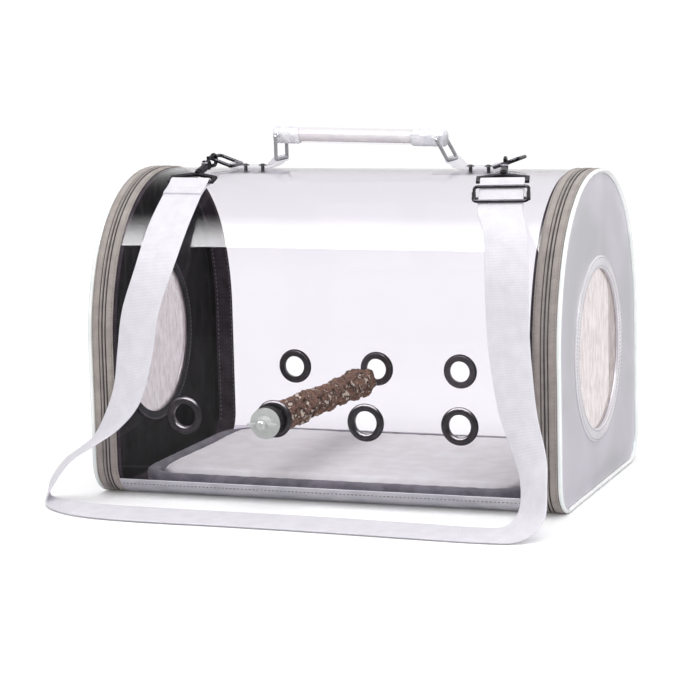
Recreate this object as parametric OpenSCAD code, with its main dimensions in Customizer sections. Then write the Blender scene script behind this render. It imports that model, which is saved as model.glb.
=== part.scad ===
// Bird travel carrier. A clear arched sheet joins two fabric hoops, and a
// zip-round door with a round mesh window closes each end. A branch perch is
// bolted through a front eyelet over a lift-out mat. A grip on two wire links
// and a shoulder strap on two snap hooks are riveted along the crown.
// X runs along the carrier, -Y is its front, and Z is up from the floor.

/* [Body] */
// Distance between the inner edges of the two end bands
shell_len = 380; // [360:2:400]
// Width across the straight sides
body_w = 272; // [268:1:276]
// Height of the crown above the floor
body_h = 280; // [278:1:282]
// Radius of the flat crown
crown_r = 190; // [186:1:194]
// Radius of the shoulders
shoulder_r = 124.5; // [123:0.5:126]
// Radius of the upper sides
side_r = 176; // [174:1:178]
// Height where the straight sides end
side_z = 133; // [131:1:135]
// Radius of the bottom corners
corner_r = 30; // [28:1:32]
// Thickness of the clear sheet
sheet_t = 1.2; // [0.8:0.1:1.4]
// Thickness of the woven edging
edging_t = 1.2; // [1.0:0.1:1.4]

/* [End bands] */
// Width of the woven band sewn to the clear sheet
band_w = 6.4; // [5:0.2:8]
// Width of one half of the zip
zip_w = 3.2; // [2.6:0.1:3.6]
// Gap between the two halves of the zip
zip_gap = 0.8; // [0.8:0.1:1.2]
// Width of the woven band sewn to the door
door_band_w = 6.4; // [5:0.2:8]
// Radius of the piping round the door
piping_r = 2.1; // [1.8:0.1:2.2]

/* [Windows] */
// Radius of the mesh that shows
window_r = 70; // [60:1:74]
// Width of the ring round the mesh
window_ring_w = 14; // [10:1:16]
// Height of the window's centre
window_z = 123.5; // [118:0.5:128]

/* [Eyelets] */
// Eyelets in each side
eyelet_count = 4; // [2:1:4]
// Distance between eyelets
eyelet_pitch = 83.4; // [80:0.2:86]
// Height of the eyelets
eyelet_z = 75.7; // [70:0.1:90]
// Radius of the open hole
eyelet_bore_r = 10; // [9:0.5:10]
// Radius over the flange
eyelet_r = 16; // [15:0.5:17]

/* [Handle] */
// Distance of the left link's pivot from the middle
left_pivot_x = 79.5; // [76:0.5:82]
// Distance of the right link's pivot from the middle
right_pivot_x = 81.5; // [78:0.5:84]
// Length of a link between its two bars
link_h = 21.5; // [20:0.5:24]
// Lean of the right link towards the middle
right_lean = 29; // [26:0.5:32]
// Radius of the grip
grip_r = 7.6; // [7:0.1:8]
// Radius of the wire in links and rings
wire_r = 1.6; // [1.4:0.1:1.8]

/* [Strap] */
// Width of the webbing
strap_w = 38; // [36:0.5:38]
// Thickness of the webbing
strap_t = 1.4; // [1.2:0.1:1.6]
// Slope of the left hook down the front; the right one lies flatter
hook_pitch = 16.5; // [16:0.5:17]

/* [Perch] */
// Length of the branch
perch_len = 243; // [200:1:245]
// Mean radius of the branch
perch_r = 13; // [11:0.5:14]
// Radius of the perch bolt
bolt_r = 4; // [3:0.5:4]

/* [Mat] */
// Length of the lift-out mat
mat_len = 370; // [350:2:372]
// Width of the lift-out mat
mat_w = 237; // [225:1:237]
// Width of the mat's binding
mat_edge_w = 11.5; // [8:0.5:14]

/* [Hidden] */

// Fineness of the large arcs and of the small round parts
$fn = 96;
// Slack between sewn or seated pieces of one body
seat = 0.05;
// Slack all round a bar or pin that turns
run = 0.06;
// Room between pieces that move apart
air = 0.35;
// Larger than the whole carrier
big = 900;

// Outline of the carrier's cross-section: three tangent arcs each side
half_w = body_w / 2;
crown_c = [0, body_h - crown_r];
side_c = [half_w - side_r, side_z];
corner_c = [half_w - corner_r, corner_r];
centre_gap = norm(crown_c - side_c);
toward_crown = (crown_c - side_c) / centre_gap;
from_side = side_r - shoulder_r;
from_crown = crown_r - shoulder_r;
along_gap = (from_side ^ 2 - from_crown ^ 2 + centre_gap ^ 2) / (2 * centre_gap);
off_gap = sqrt(from_side ^ 2 - along_gap ^ 2);
shoulder_c = side_c + along_gap * toward_crown
    + off_gap * [-toward_crown[1], toward_crown[0]];
side_a = atan2(shoulder_c[1] - side_c[1], shoulder_c[0] - side_c[0]);
crown_a = atan2(shoulder_c[1] - crown_c[1], shoulder_c[0] - crown_c[0]);

// The outline's arcs, anticlockwise from the bottom: centre, radius, angles, steps
function mirrored(c) = [-c[0], c[1]];
outline_arcs = [
    [corner_c, corner_r, -90, 0, 12], [side_c, side_r, 0, side_a, 10],
    [shoulder_c, shoulder_r, side_a, crown_a, 20], [crown_c, crown_r, crown_a, 180 - crown_a, 4],
    [mirrored(shoulder_c), shoulder_r, 180 - crown_a, 180 - side_a, 20],
    [mirrored(side_c), side_r, 180 - side_a, 180, 10], [mirrored(corner_c), corner_r, 180, 270, 12],
];
// Points along the outline at a depth below it, each with its outward angle.
// Arcs share their end points, and straight runs join the first, second and last.
function outline_rays(d) = [for (n = [0 : len(outline_arcs) - 1])
    let (arc = outline_arcs[n], shared = n == 0 || n == 1 || n == 6 ? 0 : 1)
    for (i = [shared : arc[4]])
        let (a = arc[2] + i * (arc[3] - arc[2]) / arc[4])
        [arc[0] + (arc[1] - d) * [cos(a), sin(a)], a]];

// Depths below the outline
shell_out = edging_t;
shell_in = shell_out + sheet_t;
lining_in = shell_in + 1.0;
zip_proud = 0.5;
zip_in = 0.9;
zip_foot = 2;
flap_half = corner_c[0] + 5.6;
flap_top = 3;

// Stations along X, on the right end
band_x0 = shell_len / 2;
band_x1 = band_x0 + band_w;
shell_x = band_x1 - 1.4;
shell_foot = 5;
zip_x0 = band_x1;
zip_x1 = zip_x0 + zip_w;
door_x0 = zip_x1 + zip_gap;
door_zip_x1 = door_x0 + zip_w;
door_x1 = door_zip_x1 + door_band_w;
piping_x = door_x1 + piping_r;
binding_x0 = door_x1 - 3.2;
lining_x0 = door_x1 - 1.9;
mesh_x0 = door_x1 - 0.9;
panel_t = 1.3;
panel_x0 = door_x1;
panel_x1 = panel_x0 + panel_t;
mesh_t = 0.8;

// Zip slider and its pull
slider_z = 40;
slider_mid = (zip_x1 + door_x0) / 2;
slider_plate_y = half_w + zip_proud + air;
pull_y = slider_plate_y + 3;
pull_z = slider_z + 6.2;

// Crown hardware
crown_top = body_h - shell_out;
tab_t = 1.5;
tab_z0 = crown_top + seat;
tab_z1 = tab_z0 + 2 * tab_t;
tab_half = 11.7;
bar_hole = wire_r + run;
fold_r = bar_hole + tab_t;
ring_bar_x = 123.5;
ring_bar_z = tab_z0 + tab_t + bar_hole;
link_bar_z = 288;
rivet_xs = [98, 114.5];
rivet_r = 1.6;
rivet_head_r = 4;
link_half = 13.6;
ring_half = 13.6;
ring_reach = 22.5;
ring_lift = 20;

// Handle: left link upright, right link leaning in, grip between them
left_top = [-left_pivot_x, link_bar_z + link_h];
right_top = [right_pivot_x - link_h * sin(right_lean),
             link_bar_z + link_h * cos(right_lean)];
grip_span = norm(right_top - left_top);
grip_slope = atan2(right_top[1] - left_top[1], right_top[0] - left_top[0]);
open_slack = 0.9;
sleeve_over = 5;
sleeve_left = 24;
sleeve_right = 31;

// Snap hooks: they hang from the front arm of each ring, down the front
hook_x = [-139.5, 134];
hook_yaw = [-5, 13];
hook_slope = [hook_pitch, hook_pitch - 5];
hook_y = -ring_half;
function hook_z(x) = ring_bar_z + (abs(x) - ring_bar_x) * tan(ring_lift);
eye_r = 4.9;
eye_s = 1.2;
nose_s = 4.6;
hook_wire_r = 1.7;
knuckle_s = 15.5;
pin_r = 0.8;
gate_pin = [0, -knuckle_s + 1, 2.4];
gate_tip = [0, -nose_s - hook_wire_r - air - 1.5, 4.3];
barrel_s0 = 19.5;
barrel_s1 = 31.5;
barrel_r = 3.5;
swivel_r = 1.8;
boss_s = 35;
loop_drop = 8;
loop_wire_r = 1.6;
loop_half = strap_w / 2 + loop_wire_r + 0.5;
loop_shoulder_s = 5;
loop_bar_s = 13;
strap_drop = [13, 14];
strap_tail = [20, 51];
wrap_in = loop_wire_r + 0.15;
wrap_out = wrap_in + strap_t;
slider_s = 26;
slider_run = 11;
slider_half = 12;
slider_wire_r = 1.4;
slider_bar_r = 1.0;
slider_bar_h = -slider_bar_r - 0.15;

// Turns a local point into the carrier's frame; side 0 is left, 1 is right
function tip(v, a) = [v[0], v[1] * cos(a) - v[2] * sin(a), v[1] * sin(a) + v[2] * cos(a)];
function swing(v, a) = [v[0] * cos(a) - v[1] * sin(a), v[0] * sin(a) + v[1] * cos(a), v[2]];
function hook_at(side) = [hook_x[side], hook_y, hook_z(hook_x[side])];
function on_hook(side, v) = hook_at(side) + swing(tip(v, hook_slope[side]), hook_yaw[side]);
function on_loop(side, v) = on_hook(side, [0, -boss_s, 0] + tip(v, loop_drop));
function on_strap(side, v) = on_loop(side, [0, -loop_bar_s, 0] + tip(v, strap_drop[side] - loop_drop));

// Strap route: its two edges from the left hook to the right slider. The
// first and last pairs meet the sewn ends.
left_end = [for (e = [-1, 1]) on_strap(0, [e * strap_w / 2, -strap_tail[0], -strap_t / 2])];
right_end = [for (e = [-1, 1]) on_strap(1, [e * strap_w / 2, -strap_tail[1], strap_t / 2])];
edge_a = [
    left_end[0], [-165, -107, 237], [-168, -132, 203], [-177, -141, 167],
    [-182, -143, 132], [-186, -143, 105], [-193, -143, 83], [-206, -143, 58],
    [-220, -144, 46], [-236, -144, 34], [-249, -146, 17], [-248, -154, 5],
    [-228, -175, 5], [-190, -187, 5], [-130, -190, 5], [-70, -190, 5],
    [15, -191, 5], [105, -195, 5], [160, -199, 5], [183, -197, 7],
    [191, -183, 18], [188, -168, 40], [178, -157, 60], [164, -148, 95],
    [154, -143, 150], [152, -141, 200], [147, -126, 235], right_end[0],
];
edge_b = [
    left_end[1], [-127, -107, 237], [-130, -136, 203], [-140, -147, 167],
    [-145, -151, 132], [-150, -157, 104], [-158, -159, 85], [-174, -163, 67],
    [-191, -175, 54], [-214, -176, 40], [-230, -178, 21], [-235, -188, 4],
    [-211, -210, 1.5], [-177, -223, 1.5], [-123, -228, 1.5], [-60, -228, 1.5],
    [22, -229, 1.5], [112, -233, 1.5], [174, -234, 1.5], [204, -228, 3],
    [218, -208, 16], [216, -191, 42], [211, -174, 62], [199, -159, 97],
    [192, -148, 150], [190, -143, 200], [185, -127, 235], right_end[1],
];
strap_steps = 3;

// Perch
perch_x = -43.5;
perch_z = 74;
eyelet_back_t = 1.6;
perch_y0 = -half_w + shell_in + eyelet_back_t + seat;
perch_sag = 6;
perch_rings = 44;
perch_sides = 18;
eyelet_front_y = -half_w + shell_out - 2.6;
rubber_t = 10;
zinc_t = 2;
rubber_y = eyelet_front_y - seat;
zinc_y = rubber_y - rubber_t;
nut_y = zinc_y - zinc_t;

// Mat
mat_z0 = edging_t + 0.4;
board_t = 2.4;
mat_corner = 44;
mat_top = 14.5;
mat_edge_z = 6.4;

// Outline pieces
module wedge(c, r, a0, a1) {
    mid = (a0 + a1) / 2;
    intersection() {
        translate(c) circle(r = r, $fn = 180);
        translate(c) polygon([
            [0, 0],
            2 * r * [cos(a0), sin(a0)],
            2 * r * [cos(mid), sin(mid)],
            2 * r * [cos(a1), sin(a1)],
        ]);
    }
}

module outline(d = 0) {
    polygon([for (ray = outline_rays(d)) ray[0]]);
}

module along_x(x0, x1) {
    translate([x0, 0, 0]) rotate([90, 0, 90]) linear_extrude(x1 - x0) children();
}

// A strip that follows the outline all round, between two depths
module hoop(x0, x1, d0, d1) {
    along_x(x0, x1) difference() {
        outline(d0);
        outline(d1);
    }
}

module above(z) {
    intersection() {
        children();
        translate([-big / 2, -big / 2, z]) cube(big);
    }
}

module at_end(side) {
    if (side < 0) mirror([1, 0, 0]) children();
    else children();
}

// A round bar between two points that share a plane, with round ends
module rod(a, b, r) {
    v = b - a;
    translate(a) rotate([0, acos(v[2] / norm(v)), atan2(v[1], v[0])])
        cylinder(r = r, h = norm(v), $fn = 32);
    for (p = [a, b]) translate(p) sphere(r = r, $fn = 32);
}

// A disc or ring about the X axis at the window's centre
module window_disc(x0, x1, r_out, r_in = 0) {
    translate([x0, 0, window_z]) rotate([0, 90, 0]) difference() {
        cylinder(r = r_out, h = x1 - x0, $fn = 128);
        if (r_in > 0) translate([0, 0, -1]) cylinder(r = r_in, h = x1 - x0 + 2, $fn = 128);
    }
}

// Body
module eyelet_places() {
    for (i = [0 : eyelet_count - 1])
        translate([1.1 + (i - (eyelet_count - 1) / 2) * eyelet_pitch, 0, eyelet_z]) children();
}

module clear_shell() {
    color([0.93, 0.93, 0.96, 0.35]) difference() {
        above(shell_foot) hoop(-shell_x, shell_x, shell_out, shell_in);
        eyelet_places() rotate([90, 0, 0])
            cylinder(r = eyelet_bore_r + 1.4, h = big, center = true, $fn = 64);
        for (s = [-1, 1], x = rivet_xs) translate([s * x, 0, crown_top - 10])
            cylinder(r = rivet_r + seat, h = 20, $fn = 32);
    }
}

module base_cover() {
    trim_top = 10;
    color([0.74, 0.75, 0.79]) difference() {
        hoop(-band_x0, band_x0, 0, edging_t);
        translate([-big / 2, -big / 2, trim_top]) cube(big);
    }
}

module eyelet() {
    lip_r = 3.6;
    lip_mid = (eyelet_bore_r + eyelet_r) / 2;
    lip_drop = 1;
    back_t = eyelet_back_t;
    rotate([90, 0, 0]) rotate_extrude($fn = 64) difference() {
        union() {
            intersection() {
                translate([lip_mid, -lip_drop]) circle(r = lip_r, $fn = 48);
                translate([eyelet_bore_r - 1, seat]) square([2 * lip_r + 2, lip_r]);
            }
            translate([eyelet_bore_r, -sheet_t - back_t]) square([1.3, sheet_t + back_t + 1]);
            translate([eyelet_bore_r, -sheet_t - back_t]) square([4.6, back_t - seat]);
            translate([eyelet_bore_r + 4.6, -sheet_t - back_t / 2 - seat / 2])
                circle(r = (back_t - seat) / 2, $fn = 32);
        }
        translate([0, -lip_r * 2]) square([eyelet_bore_r, lip_r * 4]);
    }
}

module eyelet_row() {
    color([0.12, 0.12, 0.13]) eyelet_places()
        translate([0, -half_w + shell_out, 0]) eyelet();
}

module front_eyelets() {
    eyelet_row();
}

module back_eyelets() {
    mirror([0, 1, 0]) eyelet_row();
}

module band() {
    color([0.62, 0.59, 0.57]) hoop(band_x0, band_x1, 0, edging_t - seat);
}

module fixed_zip() {
    color([0.20, 0.18, 0.18]) above(zip_foot) hoop(zip_x0, zip_x1, -zip_proud, zip_in);
}

module band_lining() {
    color([0.10, 0.10, 0.12]) hoop(band_x0 - 3, zip_x1, shell_in + seat, lining_in);
}

// Doors
module door_panel() {
    color([0.80, 0.81, 0.84]) difference() {
        along_x(panel_x0, panel_x1) outline(2 * piping_r - seat);
        window_disc(panel_x0 - 1, panel_x1 + 1, window_r);
    }
}

module door_lining() {
    color([0.09, 0.09, 0.11]) {
        hoop(door_zip_x1 + 1, lining_x0, edging_t + seat, edging_t + 1);
        difference() {
            along_x(lining_x0, mesh_x0) outline(edging_t + seat);
            window_disc(lining_x0 - 1, mesh_x0 + 1, window_r + 2);
        }
    }
}

module door_band() {
    color([0.62, 0.59, 0.57]) difference() {
        hoop(door_zip_x1, door_x1, 0, edging_t);
        translate([0, -flap_half - air, -1]) cube([big, 2 * (flap_half + air), flap_top + 1]);
    }
}

// Strips left flat on the floor when a door folds down over its piping
module door_flaps() {
    color([0.62, 0.59, 0.57]) for (side = [-1, 1]) at_end(side) intersection() {
        hoop(band_x1, door_x1 - seat, 0, edging_t);
        translate([0, -flap_half, -1]) cube([big, 2 * flap_half, flap_top + 1]);
    }
}

module door_zip() {
    color([0.20, 0.18, 0.18]) above(zip_foot) hoop(door_x0, door_zip_x1, -zip_proud, zip_in);
}

// Round bead that follows the outline at its own radius below it
module bead(x, r) {
    sides = 12;
    rings = outline_rays(r);
    n = len(rings);
    skin = [for (ring = rings, k = [0 : sides - 1])
        let (out = r * cos(360 * k / sides))
        [x + r * sin(360 * k / sides), ring[0][0] + out * cos(ring[1]), ring[0][1] + out * sin(ring[1])]];
    walls = [for (i = [0 : n - 1], k = [0 : sides - 1], half = [0, 1])
        let (p = sides * i + k, q = sides * i + (k + 1) % sides,
             p2 = (p + sides) % (sides * n), q2 = (q + sides) % (sides * n))
        half == 0 ? [p, q2, q] : [p, p2, q2]];
    polyhedron(skin, walls);
}

module piping() {
    color([0.95, 0.95, 0.97]) bead(piping_x, piping_r);
}

module window_ring() {
    thick = 1.5;
    color([0.86, 0.86, 0.89]) translate([panel_x1, 0, window_z]) rotate([0, 90, 0])
        rotate_extrude($fn = 128) {
            translate([window_r + thick, 0]) square([window_ring_w - 2 * thick, thick]);
            for (r = [window_r + thick, window_r + window_ring_w - thick]) intersection() {
                translate([r, 0]) circle(r = thick, $fn = 32);
                translate([r - thick, 0]) square([2 * thick, thick]);
            }
        }
}

module window_binding() {
    color([0.08, 0.08, 0.09]) window_disc(binding_x0, lining_x0, window_r + 9, window_r);
}

module mesh() {
    color([0.86, 0.83, 0.82]) window_disc(mesh_x0 + seat, mesh_x0 + seat + mesh_t, window_r + 7);
}

// Zip slider and pull, at the back where the sides are straight
module zip_slider() {
    plate_t = 1.1;
    plate_w = 8.4;
    plate_h = 12;
    inner_y = half_w - zip_in - air - plate_t;
    web_t = 0.2;
    lug_r = 1.9;
    hole_r = 0.85;
    color([0.30, 0.30, 0.32]) difference() {
        union() {
            for (y = [slider_plate_y, inner_y])
                translate([slider_mid - plate_w / 2, y, slider_z]) cube([plate_w, plate_t, plate_h]);
            translate([slider_mid - web_t / 2, inner_y, slider_z + plate_h - 3])
                cube([web_t, slider_plate_y - inner_y, 3]);
            for (s = [-1, 1]) translate([slider_mid + s * 1.9 - 0.6, slider_plate_y + plate_t, slider_z + 4])
                cube([1.2, 3.4, 4.4]);
        }
        translate([slider_mid, slider_plate_y + plate_t + 1.9, slider_z + 6.2])
            rotate([0, 90, 0]) cylinder(r = hole_r, h = 10, center = true, $fn = 32);
    }
}

module zip_pull() {
    pin_r = 0.8;
    pull_len = 26;
    color([0.30, 0.30, 0.32]) {
        translate([slider_mid, pull_y, pull_z]) rotate([0, 90, 0])
            cylinder(r = pin_r, h = 5.4, center = true, $fn = 32);
        difference() {
            union() {
                translate([slider_mid - 0.9, pull_y - pin_r, pull_z - 8]) cube([1.8, 2 * pin_r, 8]);
                translate([slider_mid, pull_y + pin_r, pull_z - 14]) rotate([90, 0, 0]) {
                    translate([-3, -pull_len / 2 + 5, 0]) cube([6, pull_len - 10, 2 * pin_r]);
                    for (e = [-1, 1]) translate([0, e * (pull_len / 2 - 5), 0])
                        cylinder(r = 3, h = 2 * pin_r, $fn = 48);
                }
            }
            translate([slider_mid, pull_y, pull_z - 20]) rotate([90, 0, 0])
                cylinder(r = 1.4, h = 10, center = true, $fn = 32);
        }
    }
}

// Handle
// Two layers of strip, folded round the ring's bar and the link's bar
module tab(pivot_x) {
    rise_x = pivot_x + 12;
    folds = [[ring_bar_x, ring_bar_z], [pivot_x, link_bar_z]];
    color([0.92, 0.92, 0.95, 0.5]) difference() {
        union() {
            translate([0, tab_half, 0]) rotate([90, 0, 0]) linear_extrude(2 * tab_half) polygon([
                [ring_bar_x, tab_z0 + seat], [rise_x, tab_z0 + seat], [pivot_x + 3, tab_z0 + 3.2],
                [pivot_x + 0.5, link_bar_z - fold_r + 0.3], [pivot_x + 0.5, link_bar_z + fold_r - 0.3],
                [pivot_x + 4, link_bar_z + 1.4], [rise_x - 0.5, tab_z1], [ring_bar_x - 4, tab_z1],
                [ring_bar_x - 1, ring_bar_z + fold_r - 0.6],
            ]);
            for (c = folds) translate([c[0], 0, c[1]]) rotate([90, 0, 0])
                cylinder(r = fold_r, h = 2 * tab_half, center = true, $fn = 48);
        }
        for (c = folds) translate([c[0], 0, c[1]]) rotate([90, 0, 0])
            cylinder(r = bar_hole, h = 3 * tab_half, center = true, $fn = 48);
        for (x = rivet_xs) translate([x, 0, tab_z0 - 5])
            cylinder(r = rivet_r + seat, h = 20, $fn = 32);
    }
}

module tab_patches() {
    color([0.90, 0.90, 0.94, 0.5]) for (s = [-1, 1]) difference() {
        intersection() {
            hoop(-rivet_xs[1] - 28, rivet_xs[1] + 28, shell_in + seat, shell_in + 1);
            translate([s * (rivet_xs[0] + rivet_xs[1]) / 2 - 38, -18, body_h / 2]) cube([76, 36, body_h]);
        }
        for (x = rivet_xs) translate([s * x, 0, body_h - 20])
            cylinder(r = rivet_r + seat, h = 30, $fn = 32);
    }
}

module tab_rivets() {
    dome = 5.2;
    dome_h = 1.6;
    back_t = 1.2;
    back_z = body_h - shell_in - 1.2 - seat - back_t;
    color([0.18, 0.18, 0.19]) for (s = [-1, 1], x = rivet_xs) translate([s * x, 0, 0]) {
        translate([0, 0, back_z]) cylinder(r = rivet_r, h = tab_z1 + 1 - back_z, $fn = 32);
        translate([0, 0, back_z]) cylinder(r = rivet_head_r, h = back_t, $fn = 48);
        translate([0, 0, tab_z1 + seat]) intersection() {
            translate([0, 0, dome_h - dome]) sphere(r = dome, $fn = 48);
            cylinder(r = rivet_head_r, h = dome, $fn = 48);
        }
    }
}

// A closed wire frame in its XY plane: a bar at x = 0, another at x = long,
// and arms between them. Its corners bend at near_r and far_r.
module wire_frame(long, half, r, near_r, far_r) {
    bend = [near_r, far_r];
    for (s = [-1, 1]) {
        translate([near_r, s * half, 0]) rotate([0, 90, 0])
            cylinder(r = r, h = long - near_r - far_r, $fn = 32);
        for (e = [0, 1]) translate([e * (long - near_r - far_r) + near_r, s * (half - bend[e]), 0])
            rotate([0, 0, e == 0 ? (s > 0 ? 90 : 180) : (s > 0 ? 0 : 270)])
                rotate_extrude(angle = 90, $fn = 48) translate([bend[e], 0]) circle(r = r, $fn = 32);
    }
    for (e = [0, 1]) translate([e * long, 0, 0]) rotate([90, 0, 0])
        cylinder(r = r, h = 2 * (half - bend[e]), center = true, $fn = 32);
}

module link() {
    wire_frame(link_h, link_half, wire_r, 1.8, 1.8);
}

module left_link() {
    color([0.62, 0.63, 0.66]) translate([-left_pivot_x, 0, link_bar_z]) rotate([0, -90, 0]) link();
}

module right_link() {
    color([0.62, 0.63, 0.66]) translate([right_pivot_x, 0, link_bar_z])
        rotate([0, -90 - right_lean, 0]) link();
}

module grip_frame() {
    translate([left_top[0], 0, left_top[1]]) rotate([0, -grip_slope, 0]) children();
}

// A round bar along the grip, with rounded ends
module grip_bar(x0, x1, r, soft) {
    translate([x0, 0, 0]) rotate([0, 90, 0]) rotate_extrude($fn = 64) {
        square([r - soft, x1 - x0]);
        translate([0, soft]) square([r, x1 - x0 - 2 * soft]);
        for (z = [soft, x1 - x0 - soft]) translate([r - soft, z]) circle(r = soft, $fn = 32);
    }
}

module grip_core() {
    color([0.88, 0.88, 0.91]) grip_frame() difference() {
        grip_bar(-sleeve_over + 1.5, grip_span + sleeve_over - 1.5, grip_r - 2.2, 1.5);
        rotate([90, 0, 0]) cylinder(r = bar_hole, h = 40, center = true, $fn = 48);
        translate([grip_span, 0, 0]) rotate([90, 0, 0])
            cylinder(r = bar_hole + open_slack, h = 40, center = true, $fn = 48);
    }
}

module grip_tube() {
    color([0.93, 0.93, 0.96, 0.5]) grip_frame() difference() {
        grip_bar(sleeve_left - sleeve_over + seat, grip_span + sleeve_over - sleeve_right - seat,
                 grip_r - 0.6, 0.5);
        translate([-20, 0, 0]) rotate([0, 90, 0]) cylinder(r = grip_r - 2.1, h = 300, $fn = 64);
    }
}

module grip_sleeve(x0, x1) {
    difference() {
        grip_bar(x0, x1, grip_r + 0.4, 1.2);
        translate([x0 + 1.4, 0, 0]) rotate([0, 90, 0])
            cylinder(r = grip_r - 2.1, h = x1 - x0 - 2.8, $fn = 64);
        for (x = [x0 - 1, x1 - 2]) if ((x > 0) == (x0 < 0)) translate([x, 0, 0]) rotate([0, 90, 0])
            cylinder(r = grip_r - 2.1, h = 3, $fn = 64);
        rotate([90, 0, 0]) cylinder(r = bar_hole, h = 40, center = true, $fn = 48);
        translate([grip_span, 0, 0]) rotate([90, 0, 0])
            cylinder(r = bar_hole + open_slack, h = 40, center = true, $fn = 48);
    }
}

module grip_sleeves() {
    color([0.84, 0.84, 0.89]) grip_frame() {
        grip_sleeve(-sleeve_over, sleeve_left - sleeve_over);
        mirror_x = grip_span + sleeve_over;
        translate([grip_span, 0, 0]) mirror([1, 0, 0]) difference() {
            grip_bar(-sleeve_over, sleeve_right - sleeve_over, grip_r + 0.4, 1.2);
            translate([-sleeve_over + 1.4, 0, 0]) rotate([0, 90, 0])
                cylinder(r = grip_r - 2.1, h = sleeve_right, $fn = 64);
            rotate([90, 0, 0]) cylinder(r = bar_hole + open_slack, h = 40, center = true, $fn = 48);
        }
    }
}

// Rings, hooks and strap ends
module d_ring(side) {
    color([0.10, 0.10, 0.11]) at_end(side) translate([ring_bar_x, 0, ring_bar_z])
        rotate([0, -ring_lift, 0]) wire_frame(ring_reach, ring_half, wire_r, 1.8, 4);
}

module hook_frame(side) {
    translate(hook_at(side)) rotate([0, 0, hook_yaw[side]]) rotate([hook_slope[side], 0, 0]) children();
}

module loop_frame(side) {
    hook_frame(side) translate([0, -boss_s, 0]) rotate([loop_drop, 0, 0]) children();
}

module strap_frame(side) {
    loop_frame(side) translate([0, -loop_bar_s, 0]) rotate([strap_drop[side] - loop_drop, 0, 0]) children();
}

module snap_hook(side) {
    cheek = 3;
    slot = 1.6;
    color([0.11, 0.11, 0.12]) hook_frame(side) difference() {
        union() {
            translate([0, -eye_s, 0]) rotate([0, 90, 0])
                rotate_extrude(angle = 180, $fn = 64) translate([eye_r, 0]) circle(r = hook_wire_r, $fn = 32);
            rod([0, -eye_s, -eye_r], [0, -knuckle_s + 2, -1.6], hook_wire_r);
            rod([0, -eye_s, eye_r], [0, -nose_s, eye_r - 0.5], hook_wire_r);
            translate([0, -knuckle_s, 0.8]) rotate([0, 90, 0])
                cylinder(r = 4.2, h = 2 * cheek, center = true, $fn = 48);
            translate([0, -barrel_s0, 0]) rotate([90, 0, 0])
                cylinder(r = barrel_r, h = barrel_s1 - barrel_s0, $fn = 48);
        }
        translate([0, -barrel_s1 + 6, 0]) rotate([90, 0, 0]) cylinder(r = swivel_r + run, h = 12, $fn = 48);
        translate([-slot, -knuckle_s - 2.4, 0.4]) cube([2 * slot, 10, 8]);
        translate(gate_pin) rotate([0, 90, 0]) cylinder(r = pin_r + run, h = 3 * cheek, center = true, $fn = 32);
    }
}

module gate(side) {
    arm = 1.1;
    lever = gate_pin + [0, 4.6, 4.4];
    pin = [gate_pin[1], gate_pin[2]];
    nose = [gate_tip[1], gate_tip[2]];
    up = [0, arm];
    color([0.11, 0.11, 0.12]) hook_frame(side) {
        along_x(-1.25, 1.25) {
            translate(pin) circle(r = 1.8, $fn = 48);
            translate(nose) circle(r = 1.5, $fn = 48);
            polygon([pin - up, nose - up, nose + up, pin + up]);
            polygon([
                pin + [2.6, 0.4], pin + [4.6, 0.8], [lever[1] + 0.8, lever[2]], [lever[1] - 0.6, lever[2] + 0.3],
            ]);
        }
        translate(gate_pin) rotate([0, 90, 0]) cylinder(r = pin_r, h = 5.8, center = true, $fn = 32);
    }
}

// Cast loop that carries the webbing: a stem, two wings and a round bar
module strap_loop(side) {
    plate_t = 2.4;
    leg = 3.2;
    inner = loop_half - leg / 2;
    outer = loop_half + leg / 2;
    foot = -loop_bar_s - 2;
    color([0.11, 0.11, 0.12]) {
        hook_frame(side) {
            translate([0, -barrel_s1 + 5.5, 0]) rotate([90, 0, 0])
                cylinder(r = swivel_r, h = boss_s - barrel_s1 + 5.5, $fn = 48);
            translate([0, -barrel_s1 - air, 0]) rotate([90, 0, 0]) cylinder(r = 3, h = 2.4, $fn = 48);
        }
        loop_frame(side) {
            translate([0, 0, -plate_t / 2]) linear_extrude(plate_t) difference() {
                polygon([
                    [-3.4, 0.6], [3.4, 0.6], [outer, -loop_shoulder_s], [outer, foot],
                    [-outer, foot], [-outer, -loop_shoulder_s],
                ]);
                polygon([
                    [-2, -2.8], [2, -2.8], [inner, -loop_shoulder_s - 2.2], [inner, foot - 1],
                    [-inner, foot - 1], [-inner, -loop_shoulder_s - 2.2],
                ]);
            }
            translate([0, -loop_bar_s, 0]) rotate([0, 90, 0])
                cylinder(r = loop_wire_r, h = 2 * loop_half, center = true, $fn = 32);
        }
    }
}

// Webbing seen from its edge: x runs away from the bar, y off the shell.
// It wraps the bar and closes to its own thickness at meet.
module bar_wrap(grow, meet, upper, lower) {
    r = wrap_in + grow;
    wedge([0, 0], r, 90, 270);
    polygon([
        [0, -r], [meet, lower - grow], [meet + 1, lower - grow],
        [meet + 1, upper + grow], [meet, upper + grow], [0, r],
    ]);
}

module webbing(side) {
    strap_frame(side) translate([-strap_w / 2, 0, 0]) rotate([90, 0, -90]) mirror([0, 0, 1])
        linear_extrude(strap_w) children();
}

module left_strap_end() {
    tail = strap_tail[0];
    meet = 10;
    fold = seat / 2;
    color([0.92, 0.92, 0.94]) webbing(0) difference() {
        union() {
            bar_wrap(strap_t, meet, fold, -fold);
            translate([meet, -fold - strap_t]) square([tail - meet, 2 * (fold + strap_t)]);
        }
        bar_wrap(0, meet, fold, -fold);
        translate([meet, -fold]) square([tail, 2 * fold]);
    }
}

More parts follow.
